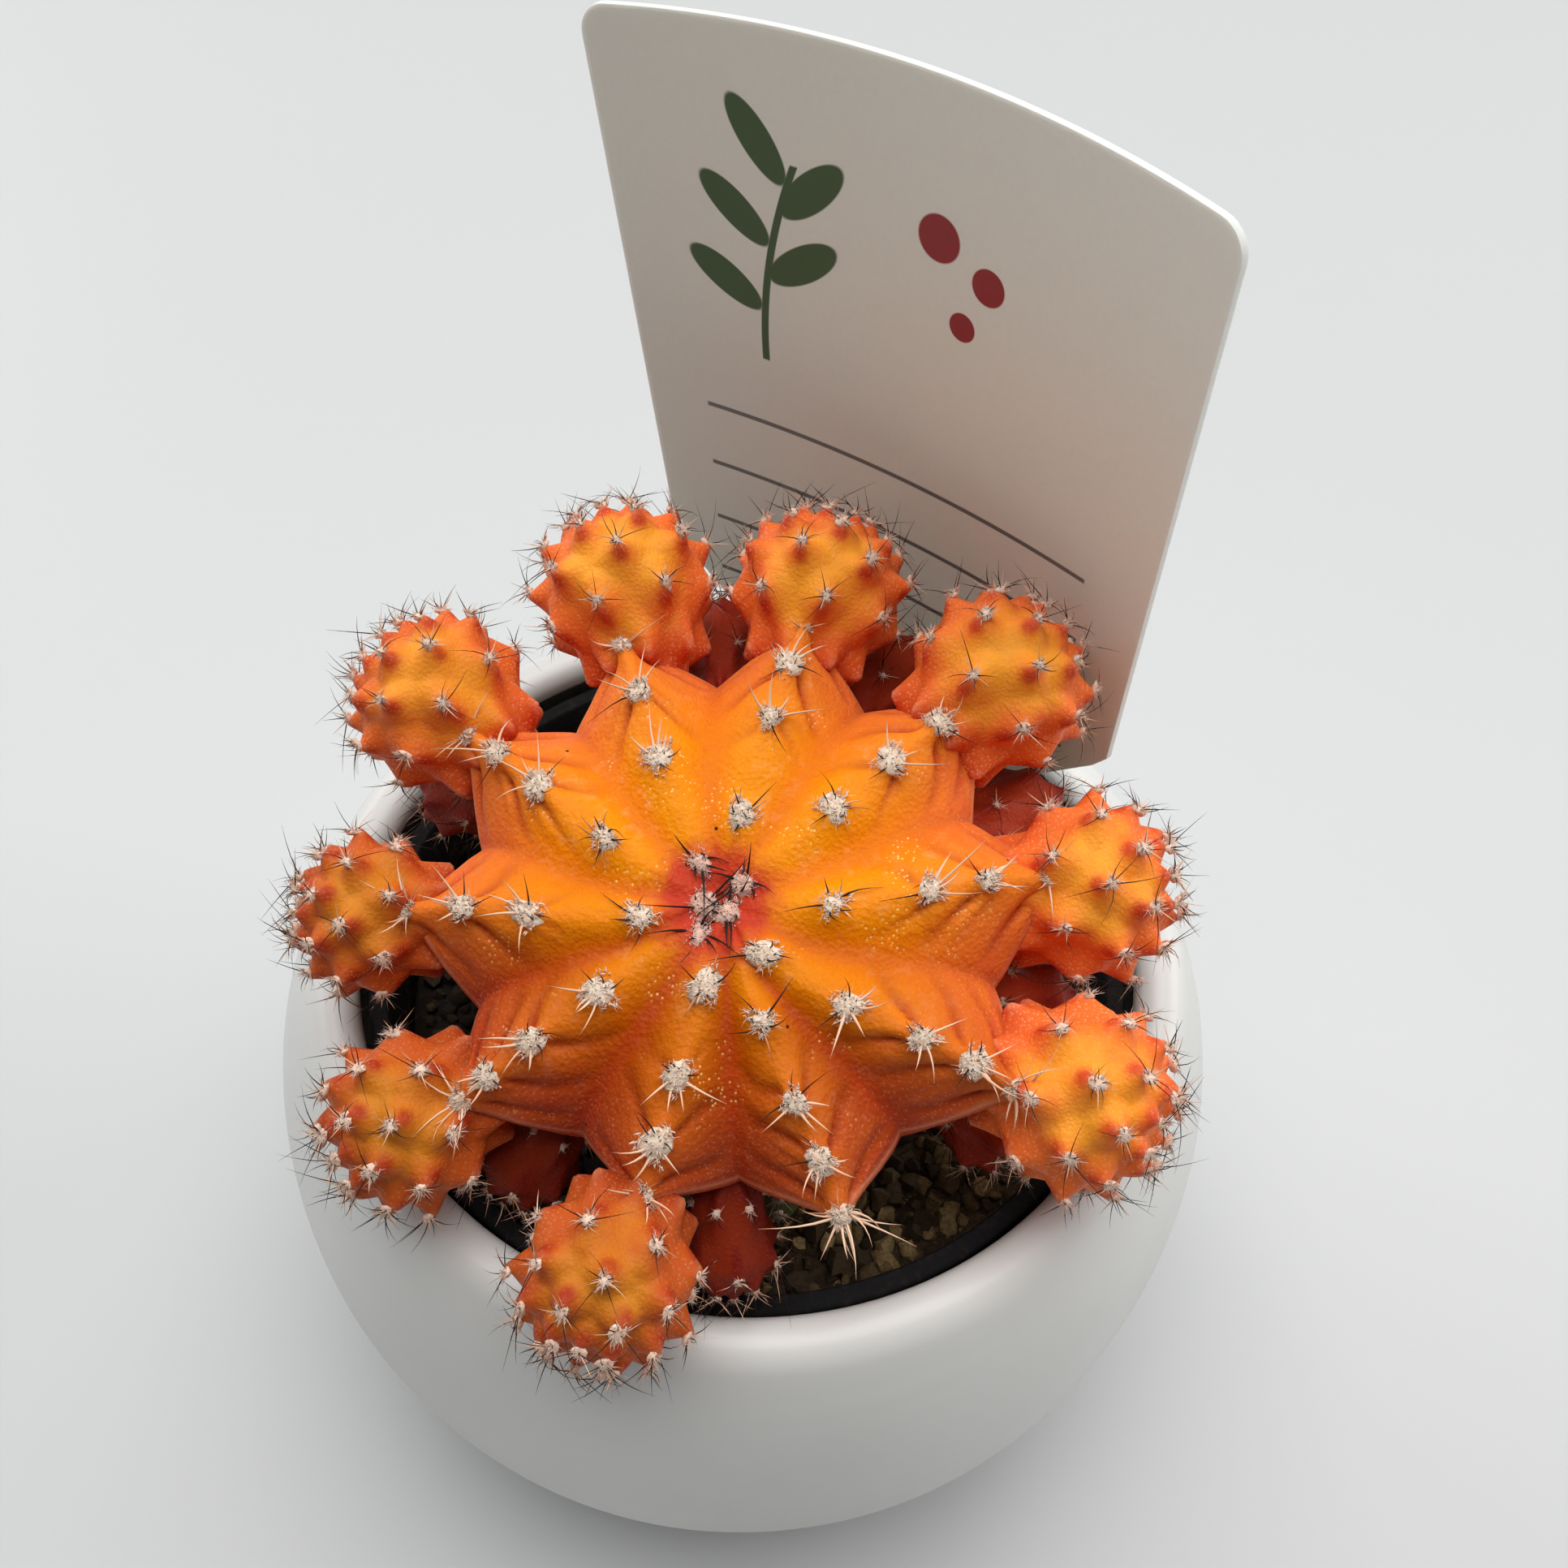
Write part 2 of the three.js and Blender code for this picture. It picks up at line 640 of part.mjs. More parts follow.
function stock() {
  const solids = [stockBody()];
  for (let rib = 0; rib < STOCK.ribs; rib += 1) {
    const angle = radians(STOCK.ribTurn + (rib * 360) / STOCK.ribs);
    const outward = new THREE.Vector3(Math.cos(angle), Math.sin(angle), 0);
    for (const share of STOCK.areoles) {
      const root = stockSkin(share, angle);
      solids.push(tuft(root, outward, STOCK.areoleRadius, AREOLE.height));
      for (const turn of STOCK.spineTurns) {
        const direction = outward.clone().applyAxisAngle(AXIS_Z, turn).setZ(0.3).normalize();
        solids.push(spine(root, direction, STOCK.spineLength, AREOLE.spineRadius));
      }
    }
  }
  return toGeometry(joinAll(solids));
}

// Plant label

/** The label's sheet: an arched top with round corners, tapering below the shoulders to a stake. */
function labelSheet() {
  const { thickness, bendRadius, halfWidth, flare, top, arch, corner } = LABEL;
  const steps = LABEL_COLUMNS.length - 1;
  const sheet = new THREE.BoxGeometry(2, 2, 2, 2 * steps, 1, 1);
  const halfTop = halfWidth + flare * top;
  return weld(reshape(sheet, (point) => {
    const column = Math.round(point.x * steps);
    const share = LABEL_COLUMNS[Math.abs(column)];
    const intoCorner = Math.max(0, share * halfTop - (halfTop - corner));
    const topEdge = top - arch * (share * halfTop) ** 2 - (corner - Math.sqrt(corner ** 2 - intoCorner ** 2));
    const up = point.y > 0 ? topEdge : onLine(LABEL_LOWER_EDGE, share);
    const across = Math.sign(column) * share * (halfWidth + flare * up);
    const bend = across / bendRadius;
    point.set(
      bendRadius * Math.sin(bend),
      -bendRadius * (1 - Math.cos(bend)) - (thickness / 2) * Math.sign(point.z),
      up,
    );
  }));
}

/** The slot that the stake stands in, in the label's frame. */
function stakeSlot() {
  const { halfWidth, from, to } = STAKE_SLOT;
  const slot = new THREE.BoxGeometry(2 * halfWidth, LABEL.thickness + 2 * GAP + 0.1, to - from);
  return slot.translate(0, 0, (from + to) / 2);
}

// Soil

/** The soil's block, lumpy on top, with plain holes for the stock and the stake. */
function soil() {
  const random = makeRandom(SOIL.seed);
  const inset = NURSERY.wall + GAP;
  const bottom = NURSERY_FOOT + inset;
  const edge = nurseryRadius(SOIL.top, inset);
  const rings = Array.from({ length: SOIL.rings }, (unused, i) => (
    [edge * (1 - (i + 1) / SOIL.rings), SOIL.top]
  ));
  const block = turned([
    [0, bottom],
    [nurseryRadius(bottom, inset), bottom],
    [nurseryRadius(NURSERY.heel, inset), NURSERY.heel],
    [edge, SOIL.top],
    ...rings,
  ], SOIL.sides);
  reshape(block, (point) => {
    const onTop = point.z > SOIL.top - 1e-3 && Math.hypot(point.x, point.y) < edge - 0.5;
    point.z += onTop ? SOIL.bump * (2 * random() - 1) : 0;
  });
  const slot = toSolid(stakeSlot().applyMatrix4(labelMatrix));
  return toGeometry(toSolid(block).subtract(stockBody(GAP)).subtract(slot));
}

// The whole plant

const plant = new THREE.Group();

const pots = new THREE.Group();
pots.add(part("cover_pot", coverPot(), 0xf1f1ef, 0.2));
pots.add(part("nursery_pot", nurseryPot(), 0x161617, 0.5));
pots.add(part("soil", soil(), 0x3b2d1e, 0.95));
plant.add(pots);

plant.add(part("stock", stock(), 0x5e7c42, 0.55));

const crown = new THREE.Group();
crown.applyMatrix4(headMatrix);
crown.add(part("head", head(), 0xee8a28, 0.45));
for (const spec of OFFSETS) {
  crown.add(part(spec.name, offset(spec), spec.form.colour, 0.5));
}
plant.add(crown);

const label = part("plant_label", labelSheet(), 0xd2c9c1, 0.4);
label.applyMatrix4(labelMatrix);
plant.add(label);

export default plant;
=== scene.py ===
"""Looks for a potted moon cactus: flesh, wool, spines, soil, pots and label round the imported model.

The frame is the model's own: +Z up, the front at -Y, the origin at the middle of the pot's foot.
Sizes are held in millimetres, and a finished piece is scaled to metres.
"""

import logging
import math
import random
from dataclasses import dataclass, field
from enum import Enum
from itertools import product
from typing import Callable, Sequence

import bmesh
import bpy
import numpy as np
from mathutils import Euler, Matrix, Vector, noise


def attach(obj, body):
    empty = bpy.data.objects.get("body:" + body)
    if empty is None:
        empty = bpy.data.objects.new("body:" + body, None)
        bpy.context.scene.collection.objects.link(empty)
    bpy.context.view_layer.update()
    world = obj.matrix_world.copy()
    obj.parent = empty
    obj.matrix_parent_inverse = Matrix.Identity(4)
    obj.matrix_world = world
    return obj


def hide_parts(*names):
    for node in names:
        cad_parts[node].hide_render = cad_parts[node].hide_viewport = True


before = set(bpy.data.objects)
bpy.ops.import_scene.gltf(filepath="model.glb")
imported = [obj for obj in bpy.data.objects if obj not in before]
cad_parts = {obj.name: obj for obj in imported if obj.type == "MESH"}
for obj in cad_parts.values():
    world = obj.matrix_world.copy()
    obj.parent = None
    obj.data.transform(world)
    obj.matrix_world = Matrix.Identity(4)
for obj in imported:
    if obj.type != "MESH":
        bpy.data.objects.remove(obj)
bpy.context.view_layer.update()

MM = 0.001
IMAGE_SIDE = 1932
BODY = "root"
UP = Vector((0, 0, 1))
UNMOVED = Matrix.Identity(4)
FULL_TURN = 2 * math.pi

Array = np.ndarray
Form = bmesh.types.BMesh
Socket = bpy.types.NodeSocket
Colour = tuple[float, float, float]
Pair = tuple[float, float]
Profile = Sequence[Pair]
Layers = tuple[tuple[float, float, float], ...]

log = logging.getLogger("moon cactus")


# Curves and numbers


def ease(value: Array, low: float, high: float) -> Array:
    """Smooth rise of the numbers from 0 at a low limit to 1 at a high one."""
    share = np.clip((value - low) / (high - low), 0, 1)
    return share * share * (3 - 2 * share)


def spot(gap: Array, width: Array | float, power: float = 2) -> Array:
    """Soft spot that is 1 where the gap is 0 and falls away over a width."""
    return np.exp(-((np.abs(gap) / width) ** power))


def level_way(turn: float) -> Vector:
    """Level direction at a turn from +X, in degrees."""
    return Vector((math.cos(math.radians(turn)), math.sin(math.radians(turn)), 0))


def smooth_curve(points: Profile, share: Array) -> Array:
    """Points on a smooth curve through a list of points.

    Args:
        points: The points that the curve runs through, evenly spaced in its share.
        share: How far along the curve each wanted point lies, from 0 to 1.

    Returns:
        One row of coordinates for each share.
    """
    knots = np.array(points, dtype=float)
    last = len(knots) - 1
    place = np.clip(share, 0, 1) * last
    start = np.minimum(place.astype(int), last)
    t = (place - start)[:, None]
    before, here = knots[np.maximum(start - 1, 0)], knots[start]
    after, beyond = knots[np.minimum(start + 1, last)], knots[np.minimum(start + 2, last)]
    leaving, arriving = 0.5 * (after - before), 0.5 * (beyond - here)
    cubic = 2 * here - 2 * after + leaving + arriving
    square = -3 * here + 3 * after - 2 * leaving - arriving
    return cubic * t**3 + square * t**2 + leaving * t + here


def arc(centre: Pair, radius: float, start: float, end: float, steps: int) -> Profile:
    """Points of an arc in a turned profile, in steps from one angle in degrees to another."""
    angles = np.radians(np.linspace(start, end, steps + 1))
    return [(centre[0] + radius * math.cos(a), centre[1] + radius * math.sin(a)) for a in angles]


def wander(points: Array, size: float, seed: float = 0.0) -> Array:
    """Soft noise at each point, from about -1 to 1, in lumps of a size, shifted by a seed."""
    shift = Vector((seed, 1.7 * seed, -0.6 * seed))
    return np.array([noise.noise(Vector(point) / size + shift) for point in points])


def dents(points: Array, layers: Layers) -> Array:
    """Sum of soft dents and bumps at each point, from the height, width and seed of each layer."""
    return sum(height * wander(points, width, seed) for height, width, seed in layers)


# Forms


def corners(form: Form) -> Array:
    """Coordinates of a form's corners, one row each."""
    return np.array([corner.co for corner in form.verts])


def place_corners(form: Form, points: Array) -> None:
    """Moves a form's corners to new coordinates, one row for each corner in order."""
    for corner, point in zip(form.verts, points):
        corner.co = point


def corner_normals(form: Form) -> Array:
    """Outward directions at a form's corners, one row each."""
    form.normal_update()
    return np.array([corner.normal for corner in form.verts])


def mesh_of(name: str, form: Form) -> bpy.types.Mesh:
    """Turns a form into a mesh.

    Args:
        name: The mesh's name.
        form: The form, which is freed.

    Returns:
        The mesh.
    """
    mesh = bpy.data.meshes.new(name)
    form.to_mesh(mesh)
    form.free()
    return mesh


def put_in_scene(name: str, content: bpy.types.ID) -> bpy.types.Object:
    """Makes an object of a mesh, a light or a camera and shows it.

    Args:
        name: The object's name.
        content: What it holds.

    Returns:
        The object.
    """
    made = bpy.data.objects.new(name, content)
    bpy.context.scene.collection.objects.link(made)
    return made


def turned_form(profile: Profile, steps: int) -> Form:
    """Turns an open profile that starts and ends on the axis into a closed form.

    Args:
        profile: Points as distance from the axis and height.
        steps: How many steps the full turn is split into.

    Returns:
        The closed form, with its faces pointing outwards.
    """
    form = bmesh.new()
    line = [form.verts.new((radius, 0, height)) for radius, height in profile]
    edges = [form.edges.new(pair) for pair in zip(line, line[1:])]
    bmesh.ops.spin(
        form, geom=line + edges, cent=(0, 0, 0), axis=(0, 0, 1), angle=FULL_TURN, steps=steps, use_merge=True,
    )
    bmesh.ops.remove_doubles(form, verts=form.verts, dist=1e-4)
    bmesh.ops.recalc_face_normals(form, faces=form.faces)
    return form


def ball_form(columns: int, rows: int) -> Form:
    """A ball of radius 1 with its poles on Z.

    Args:
        columns: Faces round the ball.
        rows: Faces from pole to pole.

    Returns:
        The form.
    """
    form = bmesh.new()
    bmesh.ops.create_uvsphere(form, u_segments=columns, v_segments=rows, radius=1)
    return form


def column_form(columns: int, rows: int) -> Form:
    """An upright cylinder of radius 1 and height 1, with its foot at height 0.

    Args:
        columns: Faces round the cylinder.
        rows: Faces from foot to top.

    Returns:
        The form.
    """
    form = bmesh.new()
    bmesh.ops.create_cone(form, cap_ends=True, segments=columns, radius1=1, radius2=1, depth=1)
    uprights = [edge for edge in form.edges if abs(edge.verts[0].co.z - edge.verts[1].co.z) > 0.5]
    bmesh.ops.subdivide_edges(form, edges=uprights, cuts=rows - 1)
    bmesh.ops.translate(form, verts=form.verts, vec=(0, 0, 0.5))
    return form


class Pattern:
    """A small shape that is repeated many times in one piece."""

    TAPER = 0.9
    TAPER_POWER = 1.4
    CRUMB_SIDE = 1.5
    CRUMB_EDGES_KEPT = 0.35
    CRUMB_UNEVENNESS = 0.28

    def __init__(self, name: str, form: Form) -> None:
        """Keeps a small form as a named mesh that copies are made from."""
        self.points = corners(form)
        self.mesh = mesh_of(name, form)

    @classmethod
    def spine(cls, sides: int, rows: int) -> "Pattern":
        """A straight, tapering spine of length 1 along Z, with a base radius of 1.

        Args:
            sides: Sides round the spine.
            rows: Faces along it.

        Returns:
            The pattern.
        """
        form = column_form(sides, rows)
        for corner in form.verts:
            taper = 1 - cls.TAPER * corner.co.z**cls.TAPER_POWER
            corner.co.x *= taper
            corner.co.y *= taper
        return cls(f"spine_{sides}_{rows}", form)

    @classmethod
    def crumb(cls, seed: int) -> "Pattern":
        """An uneven, rounded crumb with 24 faces.

        Args:
            seed: Which of the crumb shapes it is.

        Returns:
            The pattern.
        """
        draw = random.Random(seed)
        form = bmesh.new()
        bmesh.ops.create_cube(form, size=cls.CRUMB_SIDE)
        bmesh.ops.subdivide_edges(form, edges=form.edges, cuts=1, use_grid_fill=True, smooth=0.0)
        for corner in form.verts:
            corner.co = corner.co.normalized().lerp(corner.co, cls.CRUMB_EDGES_KEPT)
            corner.co *= 1 + cls.CRUMB_UNEVENNESS * (2 * draw.random() - 1)
        return cls(f"crumb_{seed}", form)


@dataclass
class Patterns:
    """The small shapes that pieces repeat."""

    spine: Pattern = field(default_factory=lambda: Pattern.spine(5, 5))
    hair: Pattern = field(default_factory=lambda: Pattern.spine(3, 4))
    fibre: Pattern = field(default_factory=lambda: Pattern.spine(3, 2))
    pad: Pattern = field(default_factory=lambda: Pattern("felt_pad", ball_form(12, 6)))
    crumbs: list[Pattern] = field(default_factory=lambda: [Pattern.crumb(seed) for seed in range(8)])


class Cluster:
    """Copies of small patterns, gathered into one form with values on every corner."""

    def __init__(self, *value_names: str) -> None:
        """Starts an empty cluster.

        Args:
            value_names: Names of the values that each corner carries.
        """
        self.form = bmesh.new()
        self.points: list[Array] = []
        self.values: dict[str, list[Array]] = {name: [] for name in value_names}

    def add(self, pattern: Pattern, points: Array, **values: float | Array) -> None:
        """Adds one copy of a pattern.

        Args:
            pattern: The pattern.
            points: Where the copy's corners lie, in the pattern's order.
            values: One number, or one for each corner, for each value.
        """
        self.form.from_mesh(pattern.mesh)
        self.points.append(points)
        for name, value in values.items():
            self.values[name].append(np.broadcast_to(value, len(points)))

    def add_spine(self, pattern: Pattern, root: Vector, direction: Vector, length: float, radius: float,
                  bend: Vector, sunk: float, **values: float) -> None:
        """Adds one spine or hair, bent along its length.

        Args:
            pattern: A spine pattern.
            root: Where it leaves the skin.
            direction: Which way it leaves, of length 1.
            length: Its length outside the skin.
            radius: Its radius at the base.
            bend: How far its tip is carried aside, as a share of the length.
            sunk: How deep its root is sunk.
            values: One number for each value except "along".
        """
        side = direction.orthogonal().normalized()
        across = np.array([side, direction.cross(side)])
        along = pattern.points[:, 2:3]
        points = np.array(root) + np.array(direction) * (along * (length + sunk) - sunk)
        points = points + np.array(bend) * (length * along**2) + pattern.points[:, :2] @ across * radius
        self.add(pattern, points, along=along[:, 0], **values)

    def finish(self) -> tuple[Form, dict[str, Array]]:
        """The form with every corner in its place, and one array of numbers for each value."""
        place_corners(self.form, np.concatenate(self.points))
        return self.form, {name: np.concatenate(parts) for name, parts in self.values.items()}


# Shader arithmetic


class Amount:
    """A number that varies over a surface, as a socket that takes part in Python arithmetic."""

    def __init__(self, shader: "Shader", socket: Socket) -> None:
        """Wraps a socket of a shader that gives one number."""
        self.shader = shader
        self.socket = socket

    def __add__(self, other: "Amount | float") -> "Amount":
        """Sum with another amount."""
        return self.shader.math("ADD", self, other)

    __radd__ = __add__

    def __sub__(self, other: "Amount | float") -> "Amount":
        """Difference from another amount."""
        return self.shader.math("SUBTRACT", self, other)

    def __rsub__(self, other: "Amount | float") -> "Amount":
        """Another amount less this one."""
        return self.shader.math("SUBTRACT", other, self)

    def __mul__(self, other: "Amount | float") -> "Amount":
        """Product with another amount."""
        return self.shader.math("MULTIPLY", self, other)

    __rmul__ = __mul__

    def __truediv__(self, other: "Amount | float") -> "Amount":
        """This amount divided by another."""
        return self.shader.math("DIVIDE", self, other)

    def __abs__(self) -> "Amount":
        """The amount without its sign."""
        return self.shader.math("ABSOLUTE", self)

    def sine(self) -> "Amount":
        """Sine of the amount, in radians."""
        return self.shader.math("SINE", self)

    def most(self, other: "Amount | float") -> "Amount":
        """The larger of two amounts."""
        return self.shader.math("MAXIMUM", self, other)

    def rise(self, low: float, high: float) -> "Amount":
        """Smooth rise from 0 at one limit to 1 at the other, or a fall where low is above high.

        Args:
            low: Where the result is 0.
            high: Where the result is 1.

        Returns:
            An amount from 0 to 1.
        """
        inputs = {"Value": self, "From Min": low, "From Max": high}
        made = self.shader.node("ShaderNodeMapRange", {"interpolation_type": "SMOOTHSTEP"}, inputs)
        return Amount(self.shader, made.outputs[0])


class Shader:
    """A material's node tree, built by expressions."""

    INPUTS = {"colour": "Base Color", "roughness": "Roughness", "normal": "Normal", "coat": "Coat Weight"}

    def __init__(self, name: str) -> None:
        """Starts a material with its surface shader.

        Args:
            name: The material's name.
        """
        self.material = bpy.data.materials.new(name)
        self.material.use_nodes = True
        self.tree = self.material.node_tree
        self.surface = self.tree.nodes["Principled BSDF"]
        self.here = self.node("ShaderNodeTexCoord").outputs["Object"]

    def feed(self, socket: Socket, value: object) -> None:
        """Links or sets one input.

        Args:
            socket: The input.
            value: An amount, a socket, a colour or a number.
        """
        if isinstance(value, Amount):
            self.tree.links.new(value.socket, socket)
        elif isinstance(value, Socket):
            self.tree.links.new(value, socket)
        elif isinstance(value, tuple) and socket.type == "RGBA":
            socket.default_value = (*value, 1)
        else:
            socket.default_value = value

    def node(self, kind: str, settings: dict | None = None, inputs: dict | None = None) -> bpy.types.Node:
        """Adds any node.

        Args:
            kind: The node's type.
            settings: Its settings, set first. "stops" gives a ramp's places and colours.
            inputs: Values or links by input name or number.

        Returns:
            The node.
        """
        made = self.tree.nodes.new(kind)
        for name, value in (settings or {}).items():
            if name == "stops":
                self.set_stops(made.color_ramp, value)
            else:
                setattr(made, name, value)
        for name, value in (inputs or {}).items():
            self.feed(made.inputs[name], value)
        return made

    @staticmethod
    def set_stops(ramp: bpy.types.ColorRamp, stops: Sequence[tuple[float, Colour]]) -> None:
        """Sets a colour ramp's stops.

        Args:
            ramp: The ramp, which has two stops to begin with.
            stops: Places from 0 to 1 in rising order, with their colours.
        """
        for place, _ in stops[2:]:
            ramp.elements.new(place)
        for element, (place, colour) in zip(ramp.elements, stops):
            element.position = place
            element.color = (*colour, 1)

    def math(self, operation: str, *values: Amount | float) -> Amount:
        """Adds a Math node of an operation on amounts or numbers."""
        made = self.node("ShaderNodeMath", {"operation": operation}, dict(enumerate(values)))
        return Amount(self, made.outputs[0])

    def attribute(self, name: str) -> Amount:
        """A value that the piece's corners carry."""
        made = self.node("ShaderNodeAttribute", {"attribute_name": name})
        return Amount(self, made.outputs["Fac"])

    def place(self) -> tuple[Amount, Amount, Amount]:
        """Place on the object in metres, as its X, Y and Z."""
        made = self.node("ShaderNodeSeparateXYZ", inputs={0: self.here})
        return tuple(Amount(self, made.outputs[i]) for i in range(3))

    def noise(self, size: float, detail: float = 2.0, roughness: float = 0.5) -> Amount:
        """Soft noise from 0 to 1, by the width of its lumps in millimetres and its finer layers."""
        inputs = {"Vector": self.here, "Scale": 1 / (size * MM), "Detail": detail, "Roughness": roughness}
        return Amount(self, self.node("ShaderNodeTexNoise", {}, inputs).outputs[0])

    def cells(self, size: float) -> Amount:
        """Distance, about 0 to 1, to the middle of small cells of a width in millimetres."""
        inputs = {"Vector": self.here, "Scale": 1 / (size * MM)}
        return Amount(self, self.node("ShaderNodeTexVoronoi", {}, inputs).outputs["Distance"])

    def dots(self, size: float, inner: float, outer: float) -> Amount:
        """Dots in the middles of small cells: 1 within the inner radius and 0 beyond the outer one."""
        return 1 - self.cells(size).rise(inner, outer)

    def ramp(self, share: Amount, stops: Sequence[tuple[float, Colour]]) -> Socket:
        """Colour at a share of the way along a ramp of places and colours."""
        return self.node("ShaderNodeValToRGB", {"stops": stops}, {0: share}).outputs[0]

    def mix(self, share: Amount | float, first: object, second: object, blend: str = "MIX") -> Socket:
        """Lays a share of the second colour over the first. Each is a colour or the socket of one."""
        settings = {"data_type": "RGBA", "blend_type": blend}
        return self.node("ShaderNodeMix", settings, {0: share, 6: first, 7: second}).outputs[2]

    def layers(self, base: object, *layers: tuple[Amount, Colour]) -> Socket:
        """Lays colours over a base, one after another.

        Args:
            base: A colour or a colour socket.
            layers: How much of each colour shows, and the colour.

        Returns:
            The colour with every layer on it.
        """
        for share, colour in layers:
            base = self.mix(share, base, colour)
        return base

    def dress(self, plain: dict[str, object], **inputs: object) -> None:
        """Sets the surface shader's inputs.

        Args:
            plain: Inputs that are the same all over, by the shader's own names.
            inputs: colour, roughness, normal and coat, which may vary over the surface.
        """
        for name, value in plain.items():
            self.surface.inputs[name].default_value = value
        for name, value in inputs.items():
            self.feed(self.surface.inputs[self.INPUTS[name]], value)

    def bump(self, height: Amount, depth: float, strength: float = 1.0) -> Socket:
        """Relief too fine for the mesh, from its height of about 0 to 1 and its depth in millimetres."""
        inputs = {"Height": height, "Distance": depth * MM, "Strength": strength}
        return self.node("ShaderNodeBump", {}, inputs).outputs[0]


# Finishes


@dataclass(frozen=True)
class Finish:
    """What a surface is made of and looks like."""

    name: str

    def material(self) -> bpy.types.Material:
        """Builds the finish's material.

        Returns:
            The material.
        """
        shader = Shader(self.name)
        self.paint(shader)
        return shader.material

    def paint(self, shader: Shader) -> None:
        """Fills in the shader."""
        raise NotImplementedError


def inner_light(weight: float, spread: Colour, depth: float) -> dict[str, object]:
    """How light spreads inside a surface: its share, its reach in red, green and blue, and its depth."""
    return {"Subsurface Weight": weight, "Subsurface Radius": spread, "Subsurface Scale": depth * MM}


FLESH_SPREAD = (1.0, 0.42, 0.12)


@dataclass(frozen=True)
class HeadFlesh(Finish):
    """Orange flesh of the head: glowing at the heart, salmon on the ribs' flanks, red at the crown."""

    heart: Colour = (0.88, 0.28, 0.0)
    valley: Colour = (0.84, 0.20, 0.0)
    crest: Colour = (0.88, 0.26, 0.010)
    flank: Colour = (0.80, 0.16, 0.032)
    warm: Colour = (0.87, 0.22, 0.016)
    peach: Colour = (0.98, 0.48, 0.19)
    rim: Colour = (0.85, 0.34, 0.19)
    # Dark red of the folds and the valley bottoms: partly the skin's own red creases, partly painted shade in
    # them.
    fold: Colour = (0.46, 0.04, 0.006)
    # Painted shade: multiplied over the head's front side, which is turned from the light.
    painted_side_shade: Colour = (0.54, 0.33, 0.42)
    crown: Colour = (0.56, 0.035, 0.016)
    # Painted glints: bright dots in patches on the inner flesh.
    painted_glint: Colour = (1.0, 0.68, 0.24)
    speck: Colour = (0.05, 0.02, 0.012)
    mottle_size: float = 5.5
    haze_size: float = 1.3
    haze_patch: float = 7
    painted_glint_patch: float = 4.4
    crown_grain: float = 1.5
    pale_dot: float = 0.36
    skin_cell: float = 0.42
    speck_spacing: float = 4.2
    relief_depth: float = 0.12

    def paint(self, shader: Shader) -> None:
        """Fills in the shader.

        Args:
            shader: The shader to fill in.
        """
        out, crest, fold = (shader.attribute(name) for name in ("out", "crest", "fold"))
        hue, painted_side_shade, edge = (shader.attribute(name) for name in ("hue", "painted_side_shade", "edge"))
        mottle = shader.noise(self.mottle_size, 3)
        outer = (out + 0.16 * (mottle - 0.5)).rise(0.45, 0.95)
        haze_patch = shader.noise(self.haze_patch, 2).rise(0.4, 0.65)
        haze = shader.noise(self.haze_size, 3, 0.6).rise(0.5, 0.75) * haze_patch
        colour = shader.layers(
            self.heart,
            (0.8 * crest.rise(0.75, 0.0), self.valley),
            (crest.rise(0.25, 0.9) * out.rise(0.3, 0.6), self.crest),
            (outer * (1 - 0.6 * crest.rise(0.45, 1.0)), self.flank),
            (0.6 * outer * hue.rise(0.4, 0.7), self.warm),
            (0.32 * haze, self.peach),
            # The folds' dark red: partly the skin's own creases, partly painted shade.
            (fold, self.fold),
        )
        # Painted shade on the front side, weaker on the crests and broken up by mottle.
        painted_side_shade_share = painted_side_shade * (1.1 - 0.45 * crest) * (0.8 + 0.4 * mottle)
        colour = shader.mix(painted_side_shade_share, colour, self.painted_side_shade, "MULTIPLY")
        # Painted shade in the valley bottoms, stronger outwards and on the front side.
        crease = (1 - crest).rise(0.84, 1.0) * (0.1 + 0.3 * outer + 0.4 * painted_side_shade)
        pale = shader.dots(self.pale_dot, 0.1, 0.4) * (0.05 + outer) * (1 - 0.5 * crest)
        # Patches where the painted glints show, fewer outwards.
        patch = shader.noise(self.painted_glint_patch, 1.5).rise(0.55, 0.68) * (1 - 0.6 * outer)
        red = shader.attribute("crown") + 1.1 * (shader.noise(self.crown_grain, 4, 0.6) - 0.5)
        colour = shader.layers(
            colour,
            (crease, self.fold),
            (0.34 * pale, self.rim),
            (0.5 * edge, self.rim),
            (0.7 * patch * shader.dots(self.skin_cell, 0.16, 0.3), self.painted_glint),
            (0.95 * red.rise(0.0, 0.95), self.crown),
            (shader.dots(self.speck_spacing, 0.03, 0.042), self.speck),
        )
        relief = 0.7 * shader.cells(self.skin_cell) + 0.6 * shader.noise(0.22, 2)
        shader.dress(
            {**inner_light(0.35, FLESH_SPREAD, 1.2), "Specular IOR Level": 0.09},
            colour=colour,
            roughness=0.4 + 0.15 * outer,
            normal=shader.bump(relief, self.relief_depth, 0.9),
        )


